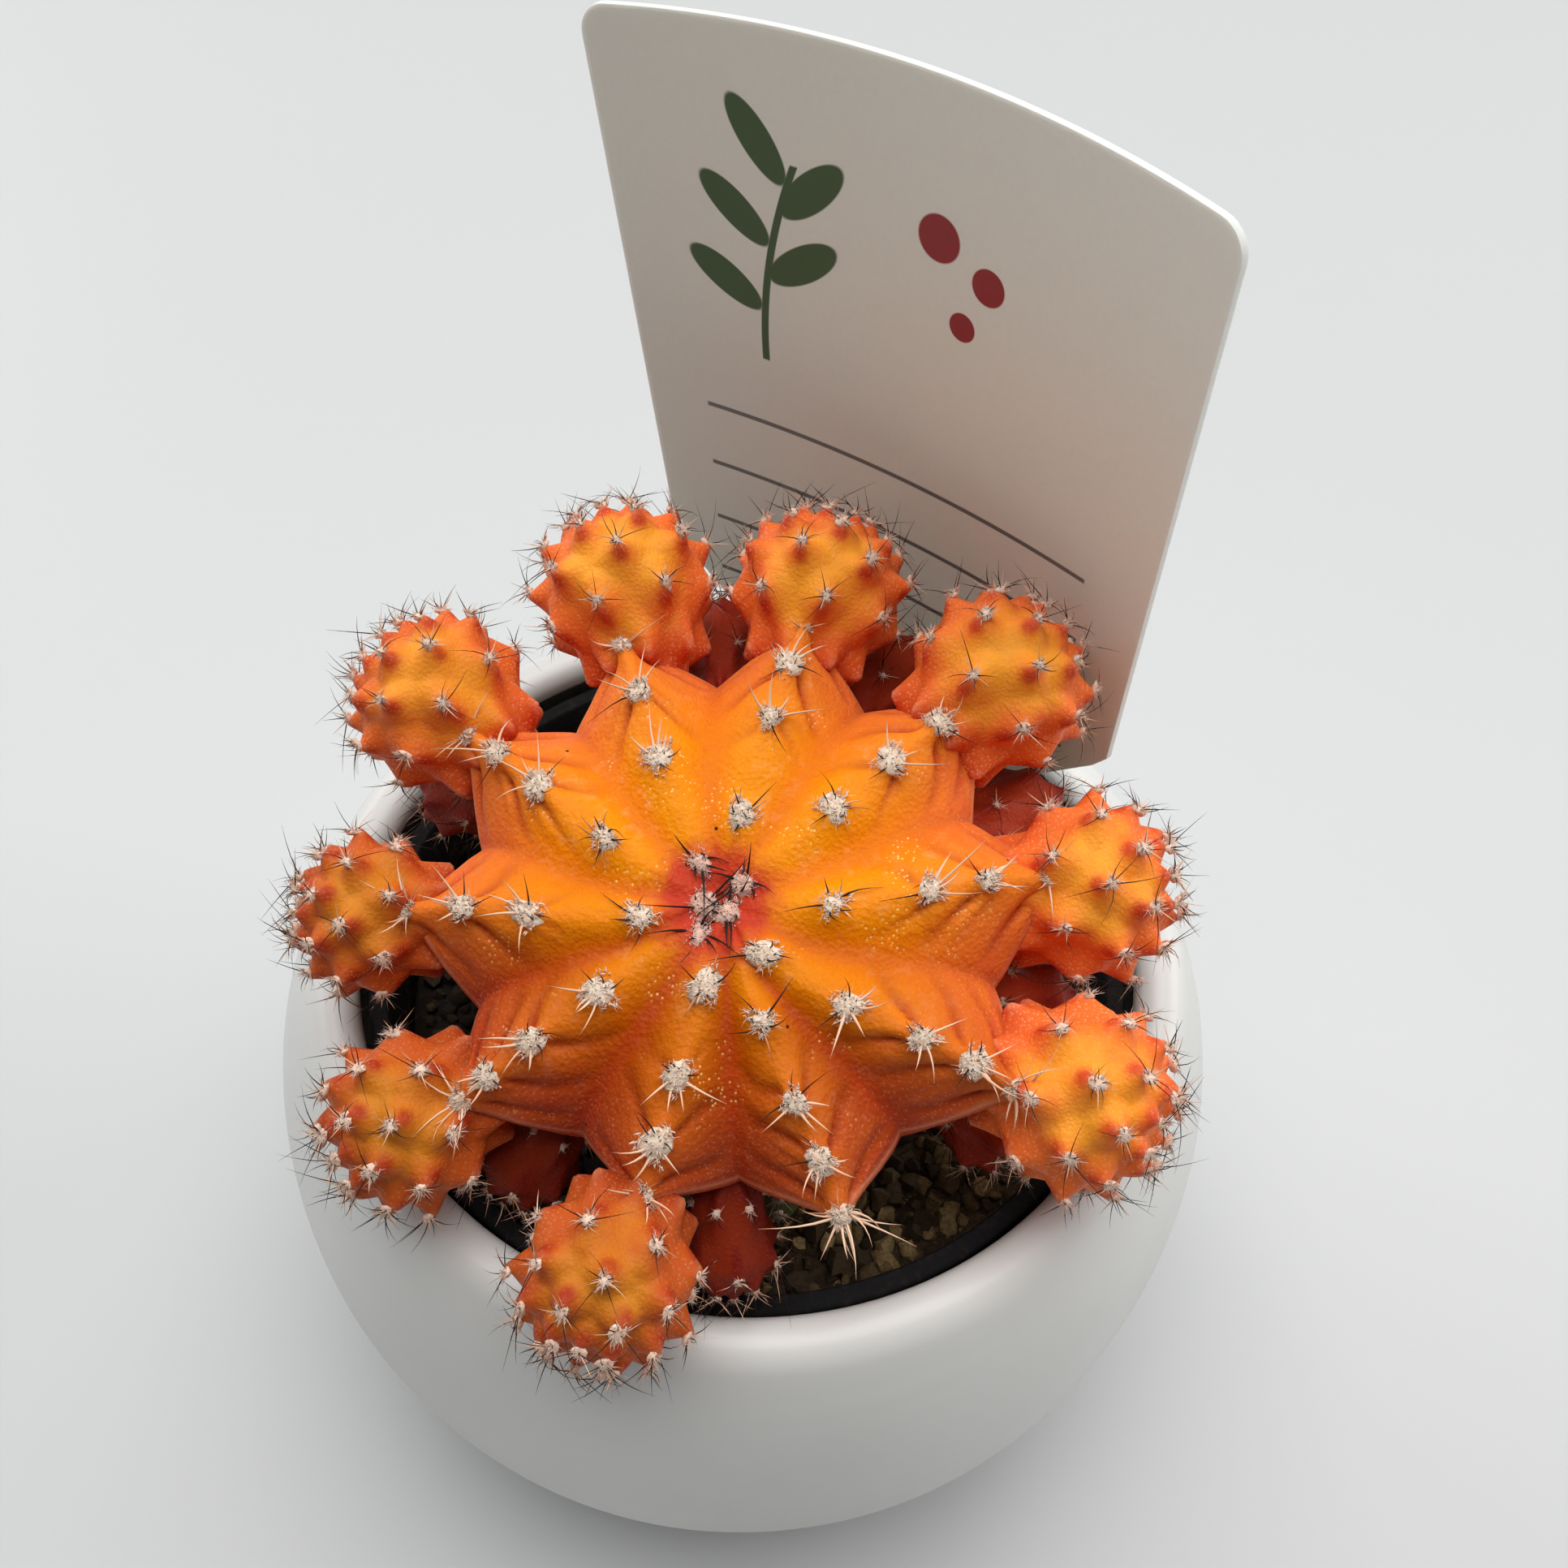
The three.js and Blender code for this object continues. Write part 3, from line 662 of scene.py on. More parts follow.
@dataclass(frozen=True)
class OffsetFlesh(Finish):
    """Flesh of an offset: yellow-orange between its tubercles, red-orange on their chins."""

    skin: Colour = (1.0, 0.37, 0.028)
    # Painted shade: shown on the side turned from the light, broken up by mottle.
    shade: Colour = (0.88, 0.17, 0.03)
    # Red-orange below each tubercle: partly the skin's own red, partly painted shade under it.
    chin: Colour = (0.60, 0.045, 0.014)
    foot: Colour = (0.50, 0.05, 0.018)
    rim: Colour = (0.98, 0.46, 0.26)
    # Painted shade: multiplied over the offsets at the front and left, which are turned from the light.
    painted_side_shade: Colour = (0.60, 0.55, 0.45)
    mottle_size: float = 3.4
    chin_grain: float = 2.2
    skin_cell: float = 0.32
    relief_depth: float = 0.1

    def paint(self, shader: Shader) -> None:
        """Fills in the shader.

        Args:
            shader: The shader to fill in.
        """
        down, raised, chin = (shader.attribute(name) for name in ("down", "raised", "chin"))
        mottle = shader.noise(self.mottle_size, 3)
        # Painted shade on the side turned away from the painted light's way.
        painted_shade_side = 1 - shader.attribute("painted_light_facing").rise(0.36, 1.0)
        shaded = painted_shade_side + 1.2 * (mottle - 0.5) + 0.4 * raised
        red = chin * (0.35 + 1.0 * shader.noise(self.chin_grain, 2)) + 0.25 * raised
        colour = shader.layers(
            self.skin,
            (shaded.rise(-0.1, 0.85), self.shade),
            (0.85 * down.rise(0.66, 0.98), self.foot),
            # Chins: partly the skin's own red, partly painted shade under the tubercles.
            (0.9 * red.rise(0.25, 1.05), self.chin),
            # Pale grain and pale tubercle tops, stronger on the painted-shade side.
            (shader.dots(self.skin_cell, 0.1, 0.42) * (0.16 + 0.4 * painted_shade_side), self.rim),
            (raised.rise(0.6, 1.0) * (0.1 + 0.4 * painted_shade_side), self.rim),
        )
        # Painted shade over the offsets at the front and left.
        colour = shader.mix(shader.attribute("painted_side_shade"), colour, self.painted_side_shade, "MULTIPLY")
        relief = 0.6 * shader.cells(self.skin_cell) + 0.5 * shader.noise(0.2, 2)
        shader.dress(
            {**inner_light(0.35, FLESH_SPREAD, 1.0), "Specular IOR Level": 0.12},
            colour=colour,
            roughness=0.4 + 0.16 * mottle,
            normal=shader.bump(relief, self.relief_depth, 0.9),
        )


@dataclass(frozen=True)
class StockSkin(Finish):
    """Green skin of the grafting stock, paler on its ribs and corky at the foot."""

    green: Colour = (0.09, 0.17, 0.045)
    pale: Colour = (0.24, 0.34, 0.13)
    cork: Colour = (0.26, 0.19, 0.1)
    mottle_size: float = 2.2
    dot_spacing: float = 0.8
    relief_size: float = 0.5
    relief_depth: float = 0.12

    def paint(self, shader: Shader) -> None:
        """Fills in the shader.

        Args:
            shader: The shader to fill in.
        """
        mottle = shader.noise(self.mottle_size, 4)
        corky = (shader.attribute("up") + 0.2 * (mottle - 0.5)).rise(0.66, 0.5)
        colour = shader.layers(
            self.green,
            (0.6 * shader.attribute("rib") + 0.5 * (mottle - 0.3), self.pale),
            (0.8 * corky, self.cork),
            (0.35 * shader.dots(self.dot_spacing, 0.1, 0.22), self.pale),
        )
        shader.dress(
            inner_light(0.15, (0.4, 1.0, 0.2), 0.8),
            colour=colour,
            roughness=0.5 + 0.2 * mottle,
            normal=shader.bump(shader.noise(self.relief_size, 3), self.relief_depth, 0.7),
        )


@dataclass(frozen=True)
class Wool(Finish):
    """Cream felt with darker specks in its pad, rosy where the tint is high."""

    cream: Colour = (1.0, 0.84, 0.68)
    # Darker pad and fibre roots: partly lumpy tone, partly painted shade between the bristles.
    shade: Colour = (0.84, 0.60, 0.44)
    speck: Colour = (0.10, 0.05, 0.03)
    rosy: Colour = (0.92, 0.40, 0.34)
    patch_size: float = 0.4
    speck_size: float = 0.24
    relief_size: float = 0.14
    relief_depth: float = 0.12

    def paint(self, shader: Shader) -> None:
        """Fills in the shader.

        Args:
            shader: The shader to fill in.
        """
        patch, along = shader.noise(self.patch_size, 3), shader.attribute("along")
        specks = shader.noise(self.speck_size, 2).rise(0.62, 0.7) * along.rise(0.35, 0.0)
        colour = shader.layers(
            self.shade,
            # Cream at the fibre tips and in lumps; the pad and the roots keep the darker colour, partly
            # painted shade.
            ((patch + 0.4 * along).rise(0.35, 0.62), self.cream),
            (0.85 * specks, self.speck),
            (shader.attribute("tint") * (0.2 + 0.8 * patch), self.rosy),
        )
        shader.dress(
            {**inner_light(0.3, (1.0, 0.8, 0.6), 0.3), "Specular IOR Level": 0.2},
            colour=colour,
            roughness=0.85,
            normal=shader.bump(shader.noise(self.relief_size, 3, 0.7), self.relief_depth),
        )


@dataclass(frozen=True)
class SpineHorn(Finish):
    """Horn of the spines, from cream to nearly black by their tone, darker towards the tips."""

    cream: Colour = (0.93, 0.64, 0.45)
    amber: Colour = (0.48, 0.20, 0.08)
    dark: Colour = (0.022, 0.01, 0.008)

    def paint(self, shader: Shader) -> None:
        """Fills in the shader.

        Args:
            shader: The shader to fill in.
        """
        tone, along = shader.attribute("tone"), shader.attribute("along")
        shown = tone * (0.45 + 0.55 * along.rise(0.0, 0.4)) + 0.28 * along.rise(0.7, 1.0)
        colour = shader.ramp(shown, [(0.0, self.cream), (0.45, self.amber), (0.85, self.dark)])
        shader.dress({"Specular IOR Level": 0.15}, colour=colour, roughness=0.5)


@dataclass(frozen=True)
class Glaze(Finish):
    """Soft white glaze over a turned ball, with a bare ring where the foot stands."""

    white: Colour = (0.715, 0.71, 0.69)
    milky: Colour = (0.685, 0.68, 0.66)
    bisque: Colour = (0.62, 0.55, 0.46)
    bare_height: float = 1.1
    bare_run: float = 0.15
    bare_unevenness: float = 0.4
    cloud_size: float = 22
    pinhole_spacing: float = 9
    ring_spacing: float = 2.6
    coat: float = 0.16
    relief_depth: float = 0.12

    def paint(self, shader: Shader) -> None:
        """Fills in the shader.

        Args:
            shader: The shader to fill in.
        """
        _, _, up = shader.place()
        cloud = shader.noise(self.cloud_size, 2)
        uneven = up + self.bare_unevenness * MM * (shader.noise(3, 2) - 0.5)
        bare = uneven.rise((self.bare_height + self.bare_run) * MM, self.bare_height * MM)
        colour = shader.layers(
            self.white,
            (cloud.rise(0.3, 0.7), self.milky),
            (0.35 * shader.dots(self.pinhole_spacing, 0.012, 0.02), self.bisque),
            (bare, self.bisque),
        )
        rings = (up * (FULL_TURN / (self.ring_spacing * MM)) + 3 * shader.noise(30, 1)).sine()
        shader.dress(
            {"Coat Roughness": 0.2, "Specular IOR Level": 0.4},
            colour=colour,
            roughness=0.36 + 0.08 * cloud + 0.4 * bare,
            coat=self.coat - self.coat * bare,
            normal=shader.bump(0.6 * shader.noise(7, 2) + 0.12 * rings, self.relief_depth, 0.5),
        )


@dataclass(frozen=True)
class CupPlastic(Finish):
    """Thin black plastic, dusty near the soil."""

    black: Colour = (0.012, 0.012, 0.013)
    dust: Colour = (0.085, 0.06, 0.04)
    soil_line: float = 49.0
    splash: float = 6.0
    speck_size: float = 0.9
    relief_size: float = 0.7
    relief_depth: float = 0.05

    def paint(self, shader: Shader) -> None:
        """Fills in the shader.

        Args:
            shader: The shader to fill in.
        """
        _, _, up = shader.place()
        specks = shader.noise(self.speck_size, 4, 0.7).rise(0.5, 0.66)
        low = up.rise((self.soil_line + self.splash) * MM, self.soil_line * MM)
        shader.dress(
            {"Specular IOR Level": 0.06},
            colour=shader.mix(specks * (0.15 + 0.6 * low), self.black, self.dust),
            roughness=0.7 + 0.2 * specks,
            normal=shader.bump(shader.noise(self.relief_size, 3), self.relief_depth, 0.6),
        )


@dataclass(frozen=True)
class Soil(Finish):
    """What the two finishes of the soil share: painted shade darkens all of it but a lit patch at its front
    right.
    """

    painted_shade_tint: Colour = (0.08, 0.07, 0.06)
    painted_shade_share: float = 0.92
    painted_shade_lumps: float = 7.0
    painted_shade_unevenness: float = 6.0
    painted_shade_run: Pair = (-26.0, 2.0)

    def dress_shaded(self, shader: Shader, colour: Socket, relief: Amount, depth: float,
                   roughness: float) -> None:
        """Darkens the soil with painted shade, away from its front right, and sets the shader's inputs.

        Args:
            shader: The soil's shader.
            colour: The soil's colour before the painted shade.
            relief: Its fine relief.
            depth: How deep the relief is, in millimetres.
            roughness: How rough it is.
        """
        right, back, _ = shader.place()
        uneven = self.painted_shade_unevenness * MM * (shader.noise(self.painted_shade_lumps, 2) - 0.5)
        start, end = (limit * MM for limit in self.painted_shade_run)
        # Painted shade: darker towards the back and the left, in uneven lumps.
        painted_shade = self.painted_shade_share * (0.7 * back - right + uneven).rise(start, end)
        colour = shader.mix(painted_shade, colour, self.painted_shade_tint, "MULTIPLY")
        shader.dress({}, colour=colour, roughness=roughness, normal=shader.bump(relief, depth))


@dataclass(frozen=True)
class SoilFines(Soil):
    """Dark peat and grit dust between the crumbs."""

    dark: Colour = (0.026, 0.016, 0.007)
    brown: Colour = (0.09, 0.056, 0.023)
    tan: Colour = (0.26, 0.17, 0.07)
    lump_size: float = 1.6
    grain_size: float = 0.6

    def paint(self, shader: Shader) -> None:
        """Fills in the shader.

        Args:
            shader: The shader to fill in.
        """
        coarse = shader.noise(self.lump_size, 4, 0.65)
        colour = shader.layers(
            self.dark,
            (coarse.rise(0.35, 0.65), self.brown),
            (shader.noise(self.grain_size, 3, 0.7).rise(0.56, 0.7), self.tan),
        )
        self.dress_shaded(shader, colour, coarse, 0.5, 0.95)


@dataclass(frozen=True)
class Crumbs(Soil):
    """Crumbs of bark, baked clay and pumice, each with a colour of its own."""

    stops: tuple[tuple[float, Colour], ...] = (
        (0.0, (0.038, 0.023, 0.010)),
        (0.38, (0.085, 0.052, 0.021)),
        (0.6, (0.19, 0.12, 0.046)),
        (0.8, (0.36, 0.24, 0.095)),
        (1.0, (0.46, 0.33, 0.15)),
    )
    dust: Colour = (0.035, 0.02, 0.011)
    grit_size: float = 0.35

    def paint(self, shader: Shader) -> None:
        """Fills in the shader.

        Args:
            shader: The shader to fill in.
        """
        grit = shader.noise(self.grit_size, 4, 0.7)
        own = shader.ramp(shader.attribute("grain"), self.stops)
        colour = shader.mix(0.55 * grit.rise(0.42, 0.68), own, self.dust)
        self.dress_shaded(shader, colour, grit, 0.2, 0.92)


@dataclass(frozen=True)
class LabelPrint(Finish):
    """Pale card with a generic leafy sprig, berries and ruled lines."""

    card: Colour = (0.80, 0.83, 0.79)
    ink: Colour = (0.06, 0.065, 0.06)
    leaf: Colour = (0.055, 0.115, 0.03)
    berry: Colour = (0.33, 0.02, 0.025)
    band: Colour = (0.60, 0.50, 0.44)
    rules: tuple[float, ...] = (30.0, 23.5, 17.0, 10.5)
    rule_half_width: float = 0.16
    rule_half_length: float = 20.0
    stem_across: float = -13.5
    stem_bend: float = 0.012
    stem_middle: float = 38.0
    stem_ends: Pair = (36.8, 55.0)
    stem_half_width: float = 0.3
    leaves: tuple[tuple[int, float, float], ...] = (
        (-1, 41.5, 30), (1, 44.5, 34), (-1, 47.5, 38), (1, 50.5, 42), (-1, 53.0, 52),
    )
    leaf_reach: float = 4.3
    leaf_half: Pair = (3.9, 1.5)
    berries: tuple[tuple[float, float, float], ...] = ((3.5, 53.5, 1.9), (8.2, 51.2, 1.5), (6.0, 47.0, 1.2))

    @staticmethod
    def oval(across: Amount, up: Amount, middle: Pair, half: Pair, turn: float = 0.0) -> Amount:
        """A printed oval.

        Args:
            across: Place across the card, in millimetres.
            up: Place up the card, in millimetres.
            middle: The oval's middle.
            half: Half its length and half its width.
            turn: Direction of its length above the horizontal, in degrees.

        Returns:
            1 inside the oval and 0 outside it.
        """
        cosine, sine = math.cos(math.radians(turn)), math.sin(math.radians(turn))
        x, y = across - middle[0], up - middle[1]
        along, aside = (x * cosine + y * sine) / half[0], (y * cosine - x * sine) / half[1]
        return (along * along + aside * aside).rise(1.12, 0.92)

    def sprig(self, across: Amount, up: Amount) -> Amount:
        """A bent stem with leaves on both sides.

        Args:
            across: Place across the card, in millimetres.
            up: Place up the card, in millimetres.

        Returns:
            1 in the sprig and 0 outside it.
        """
        low, high = self.stem_ends
        above = up - self.stem_middle
        from_stem = abs((across - self.stem_across) - self.stem_bend * above * above)
        sprig = from_stem.rise(self.stem_half_width + 0.12, self.stem_half_width)
        sprig = sprig * up.rise(low - 0.2, low) * up.rise(high + 0.2, high)
        for side, height, lift in self.leaves:
            stem = self.stem_across + self.stem_bend * (height - self.stem_middle) ** 2
            aside, lifted = math.cos(math.radians(lift)), math.sin(math.radians(lift))
            middle = (stem + side * self.leaf_reach * aside, height + self.leaf_reach * lifted)
            turn = lift if side > 0 else 180 - lift
            sprig = sprig.most(self.oval(across, up, middle, self.leaf_half, turn))
        return sprig

    def paint(self, shader: Shader) -> None:
        """Fills in the shader.

        Args:
            shader: The shader to fill in.
        """
        across, up = shader.attribute("across"), shader.attribute("up")
        front = shader.attribute("front").rise(0.4, 0.6)
        fibre = shader.noise(0.5, 3, 0.6)
        colour = shader.mix(0.16 * fibre, self.card, self.band)
        ruled = 0.8 * front * abs(across).rise(self.rule_half_length + 0.2, self.rule_half_length)
        for height in self.rules:
            line = abs(up - height).rise(self.rule_half_width + 0.12, self.rule_half_width)
            colour = shader.mix(line * ruled, colour, self.ink)
        colour = shader.mix(self.sprig(across, up) * front, colour, self.leaf)
        for right, height, radius in self.berries:
            berry = self.oval(across, up, (right, height), (radius, radius))
            colour = shader.mix(berry * front, colour, self.berry)
        shader.dress(
            {**inner_light(0.6, (1.0, 0.9, 0.8), 0.8), "Specular IOR Level": 0.4},
            colour=colour,
            roughness=0.42 + 0.1 * fibre,
            normal=shader.bump(shader.noise(1.5, 3), 0.02, 0.5),
        )


@dataclass(frozen=True)
class Floor(Finish):
    """Plain pale table top."""

    pale: Colour = (0.56, 0.57, 0.57)
    cloudy: Colour = (0.55, 0.56, 0.56)
    cloud_size: float = 160

    def paint(self, shader: Shader) -> None:
        """Fills in the shader."""
        cloud = shader.noise(self.cloud_size, 2)
        shader.dress({}, colour=shader.mix(cloud, self.pale, self.cloudy), roughness=0.55)


# Pieces


class Bench:
    """Turns forms into finished pieces and keeps count of them."""

    def __init__(self) -> None:
        """Starts with no material and no piece."""
        self.patterns = Patterns()
        self.materials: dict[str, bpy.types.Material] = {}
        self.triangles = 0

    def material(self, finish: Finish) -> bpy.types.Material:
        """The material of a finish, built once.

        Args:
            finish: The finish.

        Returns:
            Its material.
        """
        if finish.name not in self.materials:
            self.materials[finish.name] = finish.material()
        return self.materials[finish.name]

    def piece(self, name: str, form: Form, finish: Finish, slot: str, node: str, place: Matrix = UNMOVED,
              values: dict[str, Array] | None = None, crease: float | None = None) -> None:
        """Makes one piece that stands for a node of the model.

        Args:
            name: The piece's name.
            form: Its form in millimetres, which is freed.
            finish: What it is made of.
            slot: Not used.
            node: The node that it stands for.
            place: Where the form goes in the model's frame, in millimetres.
            values: Numbers that its corners carry for the finish.
            crease: Angle in degrees past which an edge stays sharp, or None for none.
        """
        mesh = mesh_of(name, form)
        for key, numbers in (values or {}).items():
            layer = mesh.attributes.new(key, "FLOAT", "POINT")
            layer.data.foreach_set("value", np.asarray(numbers, dtype=np.float32))
        mesh.transform(Matrix.Scale(MM, 4) @ place)
        mesh.shade_smooth()
        if crease is not None:
            mesh.set_sharp_from_angle(angle=math.radians(crease))
        mesh.materials.append(self.material(finish))
        made = put_in_scene(name, mesh)
        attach(made, BODY)
        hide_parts(node)
        count = sum(len(face.vertices) - 2 for face in mesh.polygons)
        self.triangles += count
        log.info("piece %s: %d triangles", name, count)


@dataclass
class CoverPot:
    """White glazed ball with a wide mouth and a rounded lip."""

    bench: Bench
    ball_radius: float = 45.0
    ball_centre: float = 37.0
    foot_radius: float = 24.0
    foot_bevel: float = 2.0
    foot_edge: float = 0.3
    bare_ring: float = 6.0
    mouth_radius: float = 35.0
    throat_depth: float = 4.0
    wall: float = 3.7
    floor: float = 5.0
    rim_height: float = 60.0
    shoulder: float = 54.0
    shoulder_run: float = 1.5
    lip_points: Profile = (
        (1.38, 2.6), (1.16, 1.15), (0.86, 0.25), (0.52, 0.0), (0.2, 0.38), (0.02, 1.3), (0.0, 2.4),
    )
    steps: int = 160
    outer_steps: int = 44
    lip_steps: int = 30
    inner_steps: int = 24
    hand_made: Layers = ((0.12, 26, 3.0),)
    finish: Finish = Glaze("white_glaze")

    def ball_arc(self, radius: float, start: float, end: float, steps: int) -> Profile:
        """Arc round the ball's centre from one height to another, in steps."""
        angles = [math.degrees(math.asin((height - self.ball_centre) / radius)) for height in (start, end)]
        return arc((0.0, self.ball_centre), radius, *angles, steps)

    def profile(self) -> Profile:
        """The turned outline, from the middle of the foot over the lip to the middle of the floor.

        Returns:
            Points as distance from the axis and height.
        """
        throat = self.rim_height - self.wall / 2 - self.throat_depth
        blend = [
            (math.sqrt(self.ball_radius**2 - (height - self.ball_centre) ** 2), height)
            for height in (self.shoulder, self.shoulder + self.shoulder_run)
        ]
        blend += [
            (self.mouth_radius + share * self.wall, self.rim_height - drop) for share, drop in self.lip_points
        ]
        return [
            (0.0, 0.0),
            (self.foot_radius - self.bare_ring, 0.0),
            (self.foot_radius - self.foot_edge, 0.0),
            (self.foot_radius, self.foot_edge / 2),
            *self.ball_arc(self.ball_radius, self.foot_bevel, self.shoulder, self.outer_steps),
            *[tuple(point) for point in smooth_curve(blend, np.linspace(0, 1, self.lip_steps))[1:]],
            *self.ball_arc(self.ball_radius - self.wall, throat, self.floor, self.inner_steps),
            (0.0, self.floor),
        ]

    def build(self) -> None:
        """Makes the pot."""
        form = turned_form(self.profile(), self.steps)
        points = corners(form)
        ring = np.hypot(points[:, 0], points[:, 1])
        hand = dents(points, self.hand_made) * ease(points[:, 2], 3, 12) * ease(ring, 30, 34)
        place_corners(form, points + hand[:, None] * points / self.ball_radius)
        self.bench.piece("cover_pot_glazed", form, self.finish, "white_ceramic", "cover_pot", crease=50)


@dataclass
class NurseryPot:
    """Thin black cup with a small turned-out lip."""

    bench: Bench
    foot_height: float = 5.3
    top: float = 57.0
    lip_radius: float = 34.4
    lip_depth: float = 3.0
    lip_edge: float = 0.15
    top_radius: float = 33.6
    top_edge: float = 0.2
    waist: float = 50.0
    heel: float = 10.0
    heel_radius: float = 29.6
    foot_radius: float = 25.4
    wall: float = 0.9
    steps: int = 128
    finish: Finish = CupPlastic("black_cup_plastic")

    def radius_at(self, height: float) -> float:
        """Outer radius at a height."""
        heights = [self.foot_height, self.heel, self.top]
        return float(np.interp(height, heights, [self.foot_radius, self.heel_radius, self.top_radius]))

    def profile(self) -> Profile:
        """The turned outline, from the middle of the foot over the lip to the middle of the floor.

        Returns:
            Points as distance from the axis and height.
        """
        roll = self.wall / 2
        under_lip = self.top - self.lip_depth
        floor = self.foot_height + self.wall
        inner_top = self.top_radius - self.wall
        return [
            (0.0, self.foot_height),
            (self.foot_radius, self.foot_height),
            (self.heel_radius, self.heel),
            (self.radius_at(under_lip), under_lip),
            (self.lip_radius - self.lip_edge, under_lip),
            (self.lip_radius, under_lip + self.lip_edge),
            *arc((self.lip_radius - roll, self.top - roll), roll, 0, 90, 5),
            (inner_top + self.top_edge, self.top),
            (inner_top, self.top - self.top_edge),
            (self.radius_at(self.waist) - self.wall, self.waist),
            (self.heel_radius - self.wall, self.heel),
            (self.radius_at(floor) - self.wall, floor),
            (0.0, floor),
        ]

    def build(self) -> None:
        """Makes the cup."""
        form = turned_form(self.profile(), self.steps)
        self.bench.piece("nursery_pot_black", form, self.finish, "black_plastic", "nursery_pot", crease=40)


# Areoles


class Zone(Enum):
    """Where an areole sits, which settles the spines that it bears."""

    TIP = "tip of a rib"
    OUTER = "outer part of a rib"
    INNER = "inner part of a rib"
    CROWN = "crown"
    OFFSET = "offset"
    STOCK = "stock"


@dataclass(frozen=True)
class Areole:
    """A felted spot on the skin, with the ways that its felt and spines follow."""

    root: Vector
    down: Vector
    aside: Vector
    outward: Vector
    zone: Zone

    def stray(self, draw: random.Random, most: float) -> Vector:
        """A random way along the skin."""
        return draw.uniform(-most, most) * self.aside + draw.uniform(-most, most) * self.down


@dataclass(frozen=True)
class Felt:
    """Sizes of an areole's felt: a low, lumpy pad with short bristles on it and fine fibres round it.

    A pair of ranges is for the bristles first and then for the fibres.
    """

    radius: float
    height: float
    bristles: int
    fibres: int
    reach: float
    bristle_radius: float
    fibre_radius: float = 0.035
    pad_share: float = 0.75
    rooted_share: float = 0.8
    lumpiness: float = 0.4
    lump_width: float = 1 / 1.7
    lobes: int = 3
    lobe_depth: float = 0.3
    lengthening: Pair = (0.85, 1.15)
    widening: Pair = (0.75, 1.05)
    slopes: tuple[Pair, Pair] = ((0.5, 1.8), (-0.15, 0.8))
    lengths: tuple[Pair, Pair] = ((0.45, 0.8), (0.6, 1.25))
    loose: float = 0.7
    bending: float = 0.5
    sunk: float = 0.12


@dataclass(frozen=True)
class Fan:
    """Spines that leave an areole in a fan: angles in degrees, lengths in millimetres."""

    count: int
    spread: float
    facing: float
    length: Pair
    radius: float
    lift: Pair
    tone: Pair
    curl: float = 0.15
    start: float = 0.5
    loose: float = 20.0
    rises: tuple[float, ...] = (0.0, 0.25, 0.5, 0.8, 1.2, 1.8, 2.6, 4.0)
    sunk: float = 0.35


FANS = {
    Zone.TIP: (
        Fan(11, 110, 0, (2.2, 4.4), 0.115, (0.3, 1.7), (0.0, 0.18), 0.45),
        Fan(5, 95, 180, (1.4, 2.6), 0.08, (0.5, 1.5), (0.0, 0.6), 0.45),
    ),
    Zone.OUTER: (
        Fan(4, 70, 0, (2.0, 3.5), 0.135, (0.25, 0.7), (0.0, 0.15), 0.4),
        Fan(3, 85, 180, (1.2, 3.0), 0.09, (0.4, 1.1), (0.88, 1.0), 0.75),
        Fan(4, 180, 30, (0.7, 1.1), 0.08, (1.4, 4.0), (0.9, 1.0), 0.3, 0.45),
    ),
    Zone.INNER: (
        Fan(3, 60, 0, (1.3, 2.4), 0.12, (0.3, 0.7), (0.0, 0.5), 0.4),
        Fan(5, 180, 180, (1.2, 2.9), 0.1, (0.4, 1.3), (0.9, 1.0), 0.8),
        Fan(5, 180, 30, (0.7, 1.1), 0.08, (1.4, 4.0), (0.9, 1.0), 0.3, 0.45),
    ),
    Zone.CROWN: (
        Fan(8, 180, 0, (1.4, 2.9), 0.14, (0.2, 1.5), (0.92, 1.0), 0.9),
        Fan(6, 180, 20, (0.5, 1.0), 0.08, (1.4, 4.0), (0.9, 1.0), 0.3, 0.3),
    ),
    Zone.OFFSET: (
        Fan(5, 180, 0, (1.5, 3.1), 0.06, (0.3, 1.3), (0.85, 1.0), 0.65, 0.2),
        Fan(3, 150, 0, (1.1, 2.2), 0.065, (0.4, 1.2), (0.0, 0.25), 0.25, 0.2),
    ),
    Zone.STOCK: (Fan(7, 180, 0, (1.4, 2.6), 0.09, (0.5, 1.1), (0.0, 0.35), 0.12, 0.3),),
}


